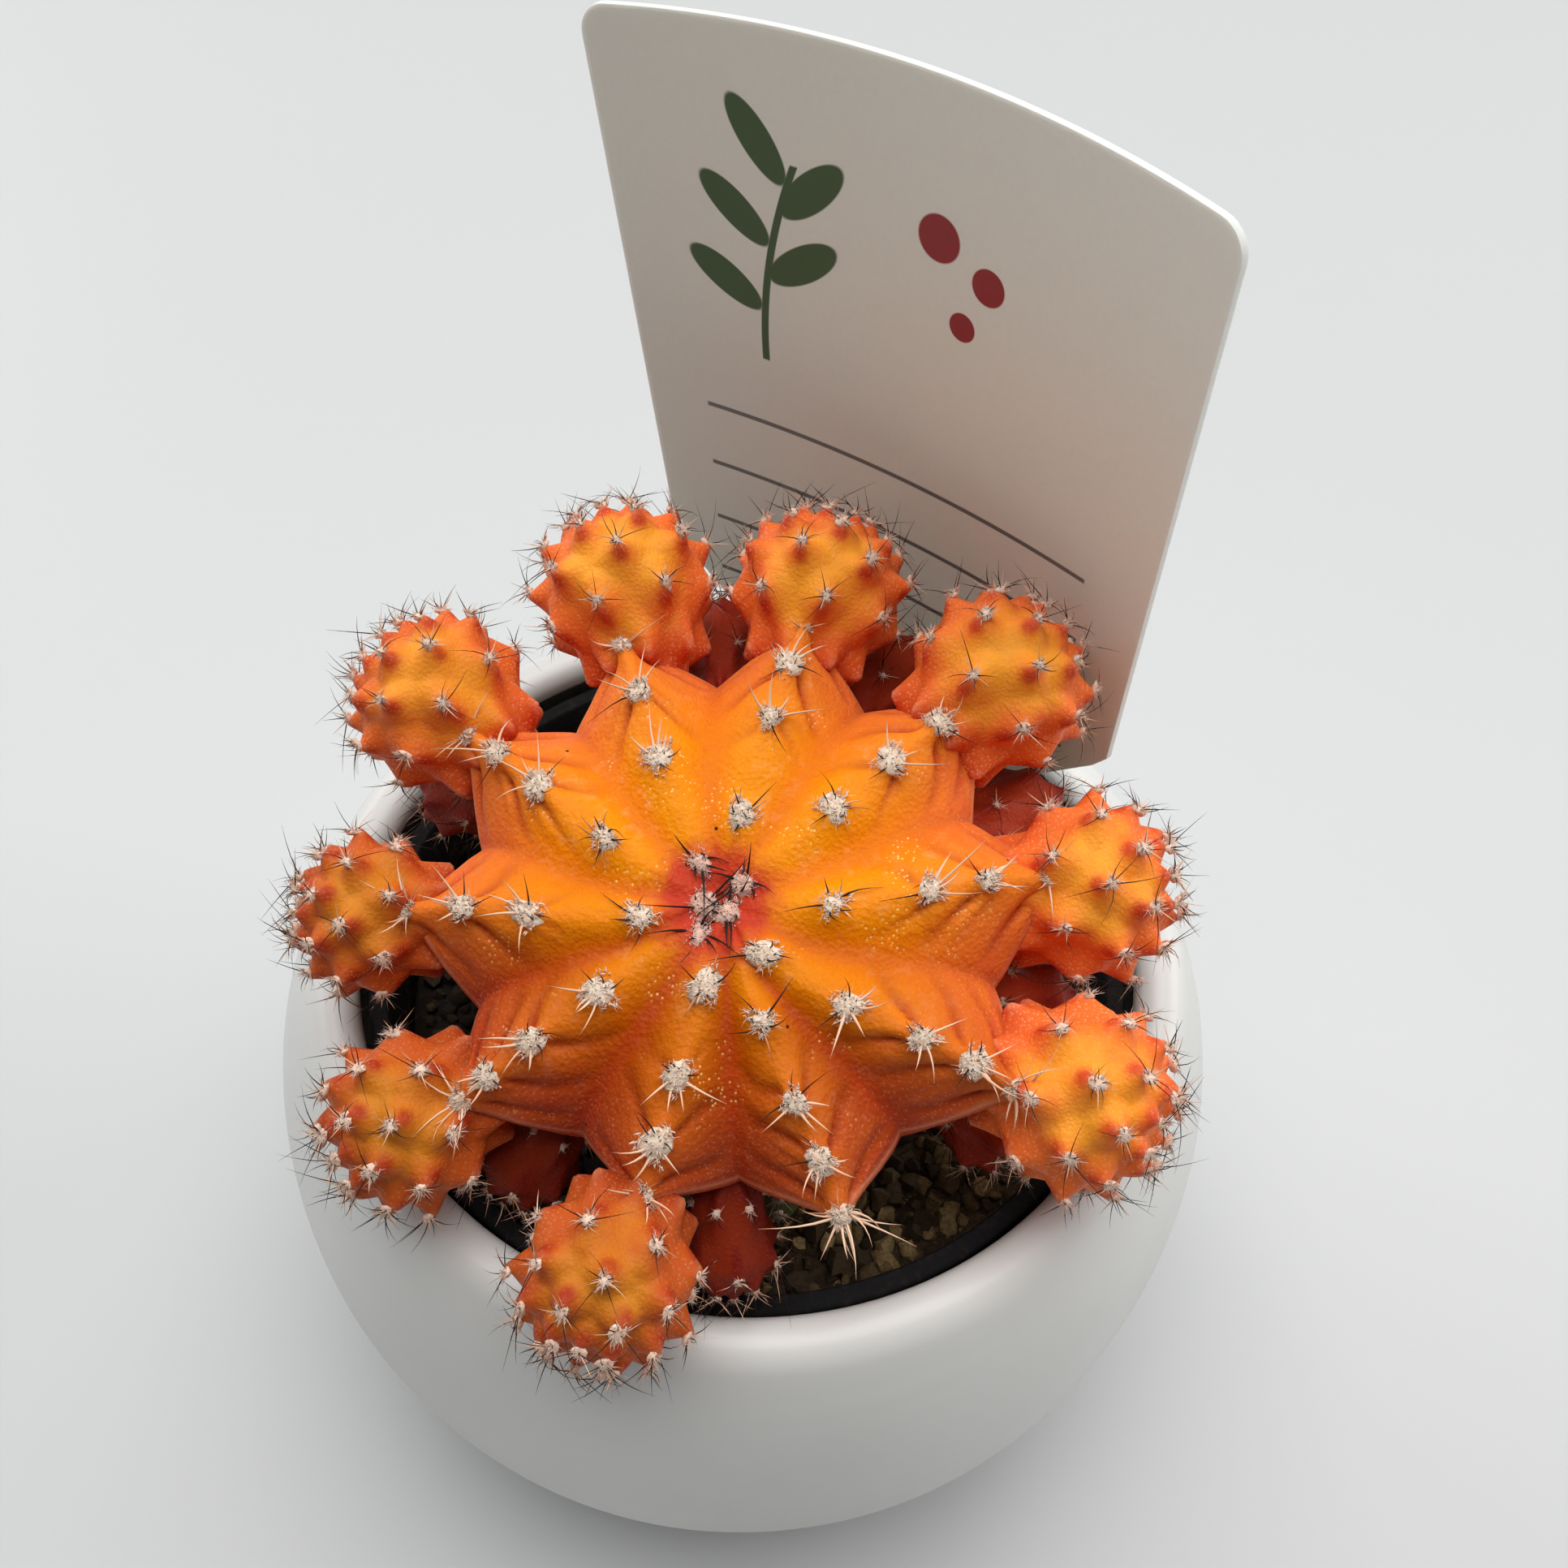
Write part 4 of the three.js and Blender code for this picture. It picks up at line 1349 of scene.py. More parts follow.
@dataclass
class Coat:
    """The felt and the spines of one part of the plant, gathered areole by areole into two pieces."""

    bench: Bench
    felt: Felt
    spine: Pattern
    draw: random.Random
    clear: Callable[[Vector], bool]
    wool_parts: Cluster = field(default_factory=lambda: Cluster("tint", "along"))
    spine_parts: Cluster = field(default_factory=lambda: Cluster("tone", "along"))
    wool: Finish = Wool("areole_wool")
    horn: Finish = SpineHorn("spine_horn")

    def add_felt(self, areole: Areole, scale: float, tint: float) -> None:
        """Adds the felt of one areole.

        Args:
            areole: The areole.
            scale: The felt's size beside the others.
            tint: How rosy it is.
        """
        felt, draw, patterns = self.felt, self.draw, self.bench.patterns
        radius = felt.radius * scale
        ways = np.array([areole.down, areole.aside, areole.outward])
        lumps = 1 + felt.lumpiness * wander(patterns.pad.points, felt.lump_width, draw.uniform(0, 50))
        long, wide = draw.uniform(*felt.lengthening), draw.uniform(*felt.widening)
        half = np.array([felt.pad_share * long * radius, felt.pad_share * wide * radius, felt.height])
        pad = patterns.pad.points * lumps[:, None] * half
        self.wool_parts.add(patterns.pad, np.array(areole.root) + pad @ ways, tint=tint, along=0.0)
        phase = draw.uniform(0, FULL_TURN)
        for number in range(felt.bristles + felt.fibres):
            fine = number >= felt.bristles
            turn = draw.uniform(0, FULL_TURN)
            out = draw.uniform(0.5, 1.0) if fine else math.sqrt(draw.random())
            flat = long * math.cos(turn) * areole.down + wide * math.sin(turn) * areole.aside
            up = 0.9 * felt.height * math.sqrt(1 - 0.9 * out * out)
            out *= 1 + felt.lobe_depth * math.sin(felt.lobes * turn + phase)
            start = areole.root + felt.rooted_share * radius * out * flat + up * areole.outward
            slope, stray = draw.uniform(*felt.slopes[fine]), areole.stray(draw, felt.loose)
            direction = (0.6 * out * flat + stray + slope * areole.outward).normalized()
            bend = areole.stray(draw, felt.bending)
            length = felt.reach * draw.uniform(*felt.lengths[fine])
            thickness = felt.fibre_radius if fine else felt.bristle_radius
            self.wool_parts.add_spine(
                patterns.fibre, start, direction, length, thickness, bend, felt.sunk, tint=tint,
            )

    def add_fan(self, areole: Areole, fan: Fan) -> None:
        """Adds one fan of spines. A spine rises until it is clear of what is near, or is left out.

        Args:
            areole: The areole.
            fan: The fan.
        """
        draw = self.draw
        for number in range(fan.count):
            share = (number + 0.5) / fan.count * 2 - 1
            angle = math.radians(fan.facing + share * fan.spread + draw.uniform(-fan.loose, fan.loose))
            flat = math.cos(angle) * areole.down + math.sin(angle) * areole.aside
            root = areole.root + fan.start * flat + 0.15 * areole.outward
            length, slope = draw.uniform(*fan.length), draw.uniform(*fan.lift)
            sway = areole.stray(draw, 1) + draw.uniform(-0.8, 0.4) * areole.outward
            thickness, tone = fan.radius * draw.uniform(0.85, 1.15), draw.uniform(*fan.tone)
            for rise in fan.rises:
                direction = (flat + (slope + rise) * areole.outward).normalized()
                if self.clear(root + 0.5 * length * direction) and self.clear(root + length * direction):
                    self.spine_parts.add_spine(
                        self.spine, root, direction, length, thickness, fan.curl * sway, fan.sunk, tone=tone,
                    )
                    break

    def grow(self, areole: Areole, scale: float, tint: float) -> None:
        """Grows the felt and the spines of one areole.

        Args:
            areole: The areole.
            scale: The felt's size beside the others.
            tint: How rosy the felt is.
        """
        self.add_felt(areole, scale, tint)
        for fan in FANS[areole.zone]:
            self.add_fan(areole, fan)

    def finish(self, names: tuple[str, str], slot: str, node: str, place: Matrix = UNMOVED) -> None:
        """Makes the two pieces.

        Args:
            names: Names of the felt's piece and of the spines' piece.
            slot: The record's material slot.
            node: The node that they stand for.
            place: Where they go in the model's frame.
        """
        parts = (self.wool_parts, self.wool), (self.spine_parts, self.horn)
        for name, (cluster, finish) in zip(names, parts):
            form, values = cluster.finish()
            self.bench.piece(name, form, finish, slot, node, place, values)


# The plant


@dataclass(frozen=True)
class Rib:
    """One rib of the head: its tip's turn and reach, how its start leans, and its areoles' distances."""

    turn: float
    reach: float
    lean: float
    areoles: tuple[float, ...]


@dataclass
class HeadShape:
    """The head's skin as a formula: ten ribs round a flat crown, folded under to the graft."""

    centre: Vector = field(default_factory=lambda: Vector((-1.7, -10.9, 80.0)))
    tilt_forward: float = 16.5
    tilt_side: float = -3.3
    tip_radius: float = 24.6
    base: float = -12.0
    tip_share: float = 0.5
    tip_run: float = 0.06
    rib_run: float = 0.02
    inner_share: float = 0.42
    sharpness: float = 0.85
    sharp_from: float = 0.2
    sharp_at: float = 0.44
    crest: Profile = (
        (0, 2.2), (4, 2.9), (9, 3.1), (14, 2.7), (18.5, 1.9), (22, 0.8), (24.6, -0.7),
        (24, -3.2), (21.2, -6), (17, -9), (12.5, -11.2), (8.2, -12), (0, -12),
    )
    valley: Profile = (
        (0, 2.2), (4.2, 2.7), (8.6, 2.3), (12.8, 1.4), (16.4, -0.2), (19, -2.4), (20.5, -4.8),
        (20.6, -6.9), (19.2, -9), (16.3, -10.6), (12.6, -11.6), (8.1, -12), (0, -12),
    )
    ribs: tuple[Rib, ...] = (
        Rib(114, 24, 14, (12, 18.2, 23.7)),
        Rib(78, 24.6, 2, (6.2, 14.6, 19.9, 24.4)),
        Rib(43, 25.4, -9, (10.6, 16.6, 22, 25.2)),
        Rib(7, 25, -27, (8.3, 15.5, 19.9, 24.7)),
        Rib(-31, 25.8, -39, (5.7, 12.6, 18.1, 22.2, 25.6)),
        Rib(-67, 24.6, -11, (10.2, 16.3, 20.6, 24.4)),
        Rib(-102, 22.6, 11, (7.2, 13.9, 18.7, 22.4)),
        Rib(-140, 24.5, 9, (11.6, 17.6, 21.6, 24.3)),
        Rib(-177, 24.6, 30, (6.4, 14.6, 19.7, 24.4)),
        Rib(-212, 25.5, 25, (9.9, 16.9, 21.7, 25.3)),
    )
    apex_areoles: Profile = ((128, 3.2), (29, 1.7), (-147, 1.6), (-76, 1.5), (-117, 3.5))
    apex_height: float = 2.35
    body_radius: float = 23.1
    body_low: float = -9.0
    body_high: float = 3.0

    def place(self) -> Matrix:
        """Where the head's own frame lies.

        Returns:
            The way from it to the model's frame.
        """
        side = Matrix.Rotation(math.radians(self.tilt_side), 4, "Y")
        forward = Matrix.Rotation(math.radians(self.tilt_forward), 4, "X")
        return Matrix.Translation(self.centre) @ side @ forward

    def rib_values(self, phase: Array) -> list[Array]:
        """Turns and leans in degrees, and reaches, at phases round the ribs.

        Args:
            phase: Phases from 0 to the number of ribs, which count the ribs clockwise.

        Returns:
            The turns, the leans and the reaches.
        """
        again = [*self.ribs, self.ribs[0]]
        turns = [rib.turn for rib in self.ribs] + [self.ribs[0].turn - 360]
        rows = (turns, [rib.lean for rib in again], [rib.reach for rib in again])
        return [np.interp(phase, range(len(again)), row) for row in rows]

    def stretch(self, share: Array, reach: Array | float) -> Array:
        """How far a rib of a given reach is stretched outwards, at shares of the way from the apex."""
        return 1 + (reach / self.tip_radius - 1) * ease(share, 0, self.tip_share)

    def skin(self, share: Array, phase: Array) -> tuple[Array, Array]:
        """Points on the skin.

        Args:
            share: Shares of the way from apex to graft.
            phase: Phases round the ribs.

        Returns:
            The points, and how near the crest each one lies, from 0 to 1.
        """
        crest, valley = smooth_curve(self.crest, share), smooth_curve(self.valley, share)
        away = 2 * np.abs(phase - np.round(phase))
        rounded = 0.5 + 0.5 * np.cos(np.pi * away)
        sharp = 1 - away**self.sharpness
        on_crest = rounded + (sharp - rounded) * ease(share, self.sharp_from, self.sharp_at)
        turn, lean, reach = self.rib_values(phase)
        inward = np.where(share < self.tip_share, (1 - crest[:, 0] / self.tip_radius) ** 2, 0)
        angle = np.radians(turn + lean * inward)
        mixed = valley + (crest - valley) * on_crest[:, None]
        radius = mixed[:, 0] * self.stretch(share, reach)
        height = np.maximum(self.base, mixed[:, 1])
        return np.stack([radius * np.cos(angle), radius * np.sin(angle), height], axis=1), on_crest

    def crest_share(self, reach: float, distance: float) -> float:
        """Share at which a rib's crest, above its tip, lies a given distance from the axis.

        Args:
            reach: The rib's reach.
            distance: The distance.

        Returns:
            The share of the way from apex to graft.
        """
        shares = np.linspace(0, self.tip_share, 400)
        reaches = smooth_curve(self.crest, shares)[:, 0] * self.stretch(shares, reach)
        return float(np.interp(distance, reaches, shares))

    def rib_areoles(self) -> list[Areole]:
        """Finds every areole on the ribs.

        Returns:
            The areoles, rib by rib from the apex outwards.
        """
        found = []
        for number, rib in enumerate(self.ribs):
            for distance in rib.areoles:
                at_tip = distance == rib.areoles[-1]
                share = self.crest_share(rib.reach, distance)
                near = share - self.tip_run if at_tip else share + self.rib_run
                points, _ = self.skin(np.array([share, near]), np.array([number, number], dtype=float))
                root, other = Vector(points[0]), Vector(points[1])
                down = (root - other if at_tip else other - root).normalized()
                aside = Vector((-root.y, root.x, 0)).normalized()
                zone = Zone.INNER if distance < self.inner_share * rib.reach else Zone.OUTER
                zone = Zone.TIP if at_tip else zone
                found.append(Areole(root, down, aside, down.cross(aside).normalized(), zone))
        return found

    def crown_areoles(self) -> list[Areole]:
        """Finds the young areoles crowded at the apex.

        Returns:
            The areoles.
        """
        found = []
        for turn, distance in self.apex_areoles:
            away = level_way(turn)
            root = distance * away + self.apex_height * UP
            found.append(Areole(root, away, Vector((-away.y, away.x, 0)), UP, Zone.CROWN))
        return found

    def holds(self, point: Vector) -> bool:
        """Whether a point in the head's frame lies within the ribs' reach at its height."""
        return math.hypot(point.x, point.y) < self.body_radius and self.body_low < point.z < self.body_high


class Size(Enum):
    """The two sizes of offset."""

    LARGE = "large"
    SMALL = "small"


@dataclass(frozen=True)
class EggShape:
    """An offset's egg in units of its radius, flattened towards its tip and drawn out to a narrower foot."""

    tip_stretch: float
    foot_stretch: float
    foot_narrowing: float
    rise: float

    def stretch(self, height: Array | float) -> Array:
        """How far the egg is stretched along its axis, by the side of its middle that a height lies on."""
        return np.where(np.asarray(height) > 0, self.tip_stretch, self.foot_stretch)

    def points(self, ball: Array, radius: float) -> Array:
        """The smooth egg's points for points on a ball of radius 1."""
        narrowing = 1 - self.foot_narrowing * np.maximum(0, -ball[:, 2])
        return radius * ball * np.stack([narrowing, narrowing, self.stretch(ball[:, 2])], axis=1)


EGGS = {
    Size.LARGE: EggShape(tip_stretch=0.88, foot_stretch=1.45, foot_narrowing=0.3, rise=14),
    Size.SMALL: EggShape(tip_stretch=0.9, foot_stretch=2.6, foot_narrowing=0.54, rise=-40),
}


@dataclass(frozen=True)
class Offset:
    """Where an offset grows, in the head's frame, and how large it is."""

    name: str
    turn: float
    reach: float
    height: float
    radius: float
    size: Size

    def centre(self) -> Vector:
        """Middle of the offset."""
        angle = math.radians(self.turn)
        return Vector((self.reach * math.cos(angle), self.reach * math.sin(angle), self.height))

    def direction(self) -> Vector:
        """Way from the offset's foot to its tip."""
        angle, rise = math.radians(self.turn), math.radians(EGGS[self.size].rise)
        return Vector((math.cos(angle) * math.cos(rise), math.sin(angle) * math.cos(rise), math.sin(rise)))

    def holds(self, point: Vector, margin: float) -> bool:
        """Whether a point lies in the offset or near it.

        Args:
            point: The point, in the head's frame.
            margin: How near its skin counts.

        Returns:
            True where it does.
        """
        egg, from_centre = EGGS[self.size], point - self.centre()
        along = from_centre.dot(self.direction())
        across = math.sqrt(max(0.0, from_centre.length_squared - along**2))
        reach = self.radius * float(egg.stretch(along)) + margin
        girth = self.radius * (1 - egg.foot_narrowing * min(1.0, max(0.0, -along / reach))) + margin
        return (along / reach) ** 2 + (across / girth) ** 2 < 1


OFFSETS = (
    Offset("offset_back_left", 110, 30.1, -3.2, 7.1, Size.LARGE),
    Offset("offset_back", 78, 29.6, -3.8, 6.9, Size.LARGE),
    Offset("offset_back_right", 44, 29.4, -2.6, 7.1, Size.LARGE),
    Offset("offset_right", 7.5, 28.7, -5, 6.9, Size.LARGE),
    Offset("offset_front_right", -25, 30.2, -4.8, 7, Size.LARGE),
    Offset("offset_front", -104.6, 28.4, -3, 6.2, Size.LARGE),
    Offset("offset_front_left", -144.6, 28.7, -4.5, 6.3, Size.LARGE),
    Offset("offset_left", -178.8, 28.5, -4.3, 5.8, Size.LARGE),
    Offset("offset_left_back", 144.6, 30.8, -3.7, 6.9, Size.LARGE),
    Offset("offset_low_front_left", -131, 23.8, -13.5, 3.9, Size.SMALL),
    Offset("offset_low_front", -88, 24.2, -11.5, 3.8, Size.SMALL),
    Offset("offset_low_right", 28, 26.6, -14, 4.6, Size.SMALL),
    Offset("offset_low_right_middle", -8, 24.6, -14, 3.8, Size.SMALL),
    Offset("offset_low_back", 96, 28.6, -14.2, 4.4, Size.SMALL),
    Offset("offset_low_back_right", 65, 28.6, -15, 4.5, Size.SMALL),
    Offset("offset_low_left_back", 151.5, 28.5, -15, 3.6, Size.SMALL),
    Offset("offset_low_front_right", -33, 25, -15, 3.4, Size.SMALL),
)


def room_at(point: Vector, own: Offset | None, margin: float) -> bool:
    """Whether a point of the head's frame lies clear of all offsets but its own by a margin."""
    return not any(other.holds(point, margin) for other in OFFSETS if other is not own)


@dataclass
class Head:
    """The grafted head: its flesh, the felt of its areoles and its spines."""

    bench: Bench
    shape: HeadShape
    columns_per_rib: int = 28
    rows: int = 190
    top_rows: float = 0.72
    seed: int = 5
    fold_rows: Layers = ((0.0, 0.7, 1.0), (0.028, 0.0, 0.35))
    fold_wave: float = 0.008
    fold_climb: Pair = (0.04, 0.11)
    fold_width: float = 0.005
    fold_widening: float = 0.014
    fold_depth: float = 0.26
    side_width: float = 0.022
    side_depth: float = 0.5
    dents: Layers = ((0.14, 4.5, 2.0), (0.05, 1.6, 7.0))
    mound_height: float = 0.42
    mound_width: float = 1.7
    chin_depth: float = 0.22
    chin_width: float = 1.1
    chin_drop: float = 1.9
    red_middle: Pair = (-0.6, -0.8)
    red_reach: Pair = (2.0, 7.0)
    # Where the painted shade over the head's front side starts and becomes full, in millimetres towards the
    # front.
    painted_side_shade_run: Pair = (-4.0, 14.0)
    edge_width: float = 0.01
    felt: Felt = Felt(radius=1.5, height=0.55, bristles=76, fibres=64, reach=0.5, bristle_radius=0.09)
    tip_felt_scale: float = 0.78
    felt_scale: float = 1.05
    spine_room: float = 0.15
    flesh: Finish = HeadFlesh("orange_flesh")

    def folds(self, share: Array, phase: Array) -> tuple[Array, Array, Array]:
        """Soft folds that run from the areoles down the ribs' flanks.

        Args:
            share: Shares of the way from apex to graft.
            phase: Phases round the ribs.

        Returns:
            How deep each point lies in a fold and in its soft sides, and the hue of its band.
        """
        nearest = np.round(phase)
        away = 2 * np.abs(phase - nearest)
        number, side = nearest.astype(int) % len(self.shape.ribs), np.sign(phase - nearest)
        width = self.fold_width + self.fold_widening * away
        fold, sides = np.zeros(len(share)), np.zeros(len(share))
        draw = random.Random(self.seed)
        for rib_number, rib in enumerate(self.shape.ribs):
            for distance, (below, least, most), facing in product(rib.areoles, self.fold_rows, (-1, 1)):
                start = self.shape.crest_share(rib.reach, distance) + below
                wavy = self.fold_wave * np.sin(away * draw.uniform(4, 8) + draw.uniform(0, 6))
                gap = share - (start + wavy - draw.uniform(*self.fold_climb) * away)
                here = ((number == rib_number) & (side == facing)) * draw.uniform(least, most)
                fold = np.maximum(fold, here * spot(gap, width))
                sides = np.maximum(sides, here * spot(gap, self.side_width))
        on_flank = ease(away, 0.06, 0.2) * (1 - 0.5 * ease(away, 0.2, 0.6)) * (1 - ease(away, 0.6, 0.98))
        on_flank *= ease(share, 0.17, 0.32) * (1 - ease(share, 0.49, 0.54))
        hue = wander(np.stack([share * 42, number * 3.1, side * 4.7], axis=1), 1.0, 3.0)
        return fold * on_flank, sides * on_flank, 0.5 + 0.5 * hue

    def relief(self, points: Array) -> Array:
        """How far mounds under the areoles and soft dents raise the skin.

        Args:
            points: Points on the skin.

        Returns:
            One height for each point.
        """
        raised = dents(points, self.dents)
        for areole in self.shape.rib_areoles():
            gap = np.linalg.norm(points - np.array(areole.root), axis=1)
            chin = np.linalg.norm(points - np.array(areole.root + self.chin_drop * areole.down), axis=1)
            raised += self.mound_height * spot(gap, self.mound_width)
            raised -= self.chin_depth * spot(chin, self.chin_width)
        return raised

    def make_flesh(self) -> None:
        """Makes the head's body."""
        count, tip = len(self.shape.ribs), self.shape.tip_share
        form = ball_form(count * self.columns_per_rib, self.rows)
        ball = corners(form)
        level = np.arccos(np.clip(ball[:, 2], -1, 1)) / np.pi
        share = np.interp(level, [0, self.top_rows, 1], [0, tip, 1])
        phase = (1 - np.arctan2(ball[:, 1], ball[:, 0]) / FULL_TURN) % 1 * count
        points, on_crest = self.shape.skin(share, phase)
        points[np.hypot(ball[:, 0], ball[:, 1]) < 1e-4, :2] = 0
        place_corners(form, points)
        fold, sides, hue = self.folds(share, phase)
        raised = self.relief(points) - self.side_depth * sides - self.fold_depth * fold
        raised *= ease(share, 0, 0.03) * (1 - ease(share, 0.56, 0.7))
        place_corners(form, points + raised[:, None] * corner_normals(form))
        from_red = np.linalg.norm(points[:, :2] - np.array(self.red_middle), axis=1)
        values = {
            "out": np.clip(share / tip, 0, 1),
            "crest": on_crest,
            "fold": fold,
            "hue": hue,
            "edge": spot(share - tip, self.edge_width) * (1 - ease(on_crest, 0.7, 1.0)),
            "crown": 1 - ease(from_red, *self.red_reach),
            # Painted shade over the front side.
            "painted_side_shade": ease(-points[:, 1] - 0.15 * points[:, 0], *self.painted_side_shade_run),
        }
        self.bench.piece("head_flesh", form, self.flesh, "orange_head", "head", self.shape.place(), values)

    def build(self) -> None:
        """Makes the head."""
        self.make_flesh()
        draw, pattern = random.Random(self.seed), self.bench.patterns.spine
        coat = Coat(self.bench, self.felt, pattern, draw, lambda at: room_at(at, None, self.spine_room))
        for areole in [*self.shape.rib_areoles(), *self.shape.crown_areoles()]:
            tint = 0.75 if areole.zone is Zone.CROWN else 0.08
            scale = self.tip_felt_scale if areole.zone is Zone.TIP else self.felt_scale
            coat.grow(areole, scale * draw.uniform(0.9, 1.1), tint)
        coat.finish(("head_wool", "head_spines"), "orange_head", "head", self.shape.place())


@dataclass
class OffsetMaker:
    """Makes offsets of one size: an egg with rows of tubercles, each with felt and hair-like spines."""

    bench: Bench
    shape: HeadShape
    label: "PlantLabel"
    size: Size
    columns: int
    rows: int
    tubercle: float
    mound_width: float
    faces_round: int
    faces_along: int
    felt: Felt
    flesh: Finish
    slot: str
    bare_below: float = -0.62
    egg_sunk: float = 0.42
    mound_height: float = 1.1
    mound_power: float = 1.2
    dent_height: float = 0.12
    dent_width: float = 2.6
    chin_drop: float = 0.5
    chin_width: float = 0.62
    areole_rise: float = 0.5
    areole_tilt: float = 0.3
    # Way of the painted light: flesh facing it stays yellow, flesh turned from it gets painted shade.
    painted_light_way: tuple[float, float, float] = (0.0, -0.4, 0.92)
    normal_share: float = 0.35
    # How far an offset's place towards the front and left takes it into the painted shade.
    painted_side_shade_run: Pair = (0.0, 40.0)
    felt_scale: Pair = (0.85, 1.25)
    felt_tint: float = 0.35
    spine_room: float = 0.1

    def tubercle_ways(self) -> Array:
        """Directions of the tubercles from the egg's middle, before it is stretched.

        Returns:
            One direction in each row, in staggered rows from tip to foot.
        """
        ways = []
        for row, column in product(range(1, self.rows), range(self.columns)):
            if (row + column) % 2 == 0:
                level, turn = math.pi * row / self.rows, FULL_TURN * column / self.columns
                level_out, up = math.sin(level), math.cos(level)
                ways.append((level_out * math.cos(turn), level_out * math.sin(turn), up))
        return np.array(ways)

    def place(self, offset: Offset) -> Matrix:
        """Where the egg's own frame lies in the model's frame."""
        turn = UP.rotation_difference(offset.direction()).to_matrix().to_4x4()
        return self.shape.place() @ Matrix.Translation(offset.centre()) @ turn

    def areoles(self, offset: Offset) -> list[Areole]:
        """Finds the areoles, each a little towards the offset's tip from its tubercle's top.

        Args:
            offset: The offset.

        Returns:
            The areoles in the egg's own frame.
        """
        found = []
        ways = self.tubercle_ways()
        tops = EGGS[self.size].points(ways, offset.radius) + self.areole_rise * self.tubercle * ways
        for way, top in zip(ways, tops):
            if way[2] > self.bare_below:
                outward = Vector(way)
                aside = UP.cross(outward).normalized()
                down = aside.cross(outward)
                root = Vector(top) - self.areole_tilt * self.mound_width * down
                tilted = (outward - self.areole_tilt * down).normalized()
                found.append(Areole(root, down, aside, tilted, Zone.OFFSET))
        return found

    def make_flesh(self, offset: Offset, place: Matrix, seed: int) -> None:
        """Makes one offset's flesh.

        Args:
            offset: The offset.
            place: Where it lies.
            seed: Shifts its dents.
        """
        form = ball_form(self.faces_round, self.faces_along)
        ball = corners(form)
        ways = self.tubercle_ways()
        lowered = ways - np.array(self.chin_drop * self.mound_width / offset.radius * UP)
        lowered /= np.linalg.norm(lowered, axis=1)[:, None]
        gap, chin_gap = (
            (np.arccos(np.clip(ball @ aims.T, -1, 1)) * offset.radius).min(axis=1) for aims in (ways, lowered)
        )
        crowding = 0.5 + 0.5 * ease(np.hypot(ball[:, 0], ball[:, 1]), 0.1, 0.6)
        cone = spot(gap, self.mound_width, self.mound_power)
        raised = self.tubercle * (self.mound_height * cone * crowding - self.egg_sunk)
        raised += self.dent_height * wander(ball * offset.radius, self.dent_width, seed)
        place_corners(form, EGGS[self.size].points(ball, offset.radius) + raised[:, None] * ball)
        # How far each point faces the painted light's way.
        facing = (ball + self.normal_share * corner_normals(form)) / (1 + self.normal_share)
        at = place.translation
        # Painted shade for the offsets at the front and left.
        painted_side_shade = float(ease(np.array(-0.9 * at.y - 0.75 * at.x), *self.painted_side_shade_run))
        values = {
            "down": (1 - ball[:, 2]) / 2,
            "raised": cone,
            "painted_light_facing": facing @ np.array(place.to_3x3()).T @ np.array(self.painted_light_way),
            "painted_side_shade": np.full(len(ball), painted_side_shade),
            "chin": spot(chin_gap, self.chin_width * self.mound_width) * crowding,
        }
        self.bench.piece(f"{offset.name}_flesh", form, self.flesh, self.slot, offset.name, place, values)

    def build(self, offset: Offset, seed: int) -> None:
        """Makes one offset.

        Args:
            offset: The offset.
            seed: Start of its random draws.
        """
        place = self.place(offset)
        self.make_flesh(offset, place, seed)
        to_head = self.shape.place().inverted() @ place

        def clear(point: Vector) -> bool:
            """Whether a point lies clear of the head, the label and the other offsets.

            Args:
                point: The point, in the egg's frame.

            Returns:
                True where it does.
            """
            at = to_head @ point
            room = room_at(at, offset, self.spine_room)
            return room and not self.shape.holds(at) and self.label.lies_behind(place @ point)

        draw = random.Random(seed)
        coat = Coat(self.bench, self.felt, self.bench.patterns.hair, draw, clear)
        for areole in self.areoles(offset):
            coat.grow(areole, draw.uniform(*self.felt_scale), self.felt_tint)
        coat.finish((f"{offset.name}_felt", f"{offset.name}_spines"), self.slot, offset.name, place)


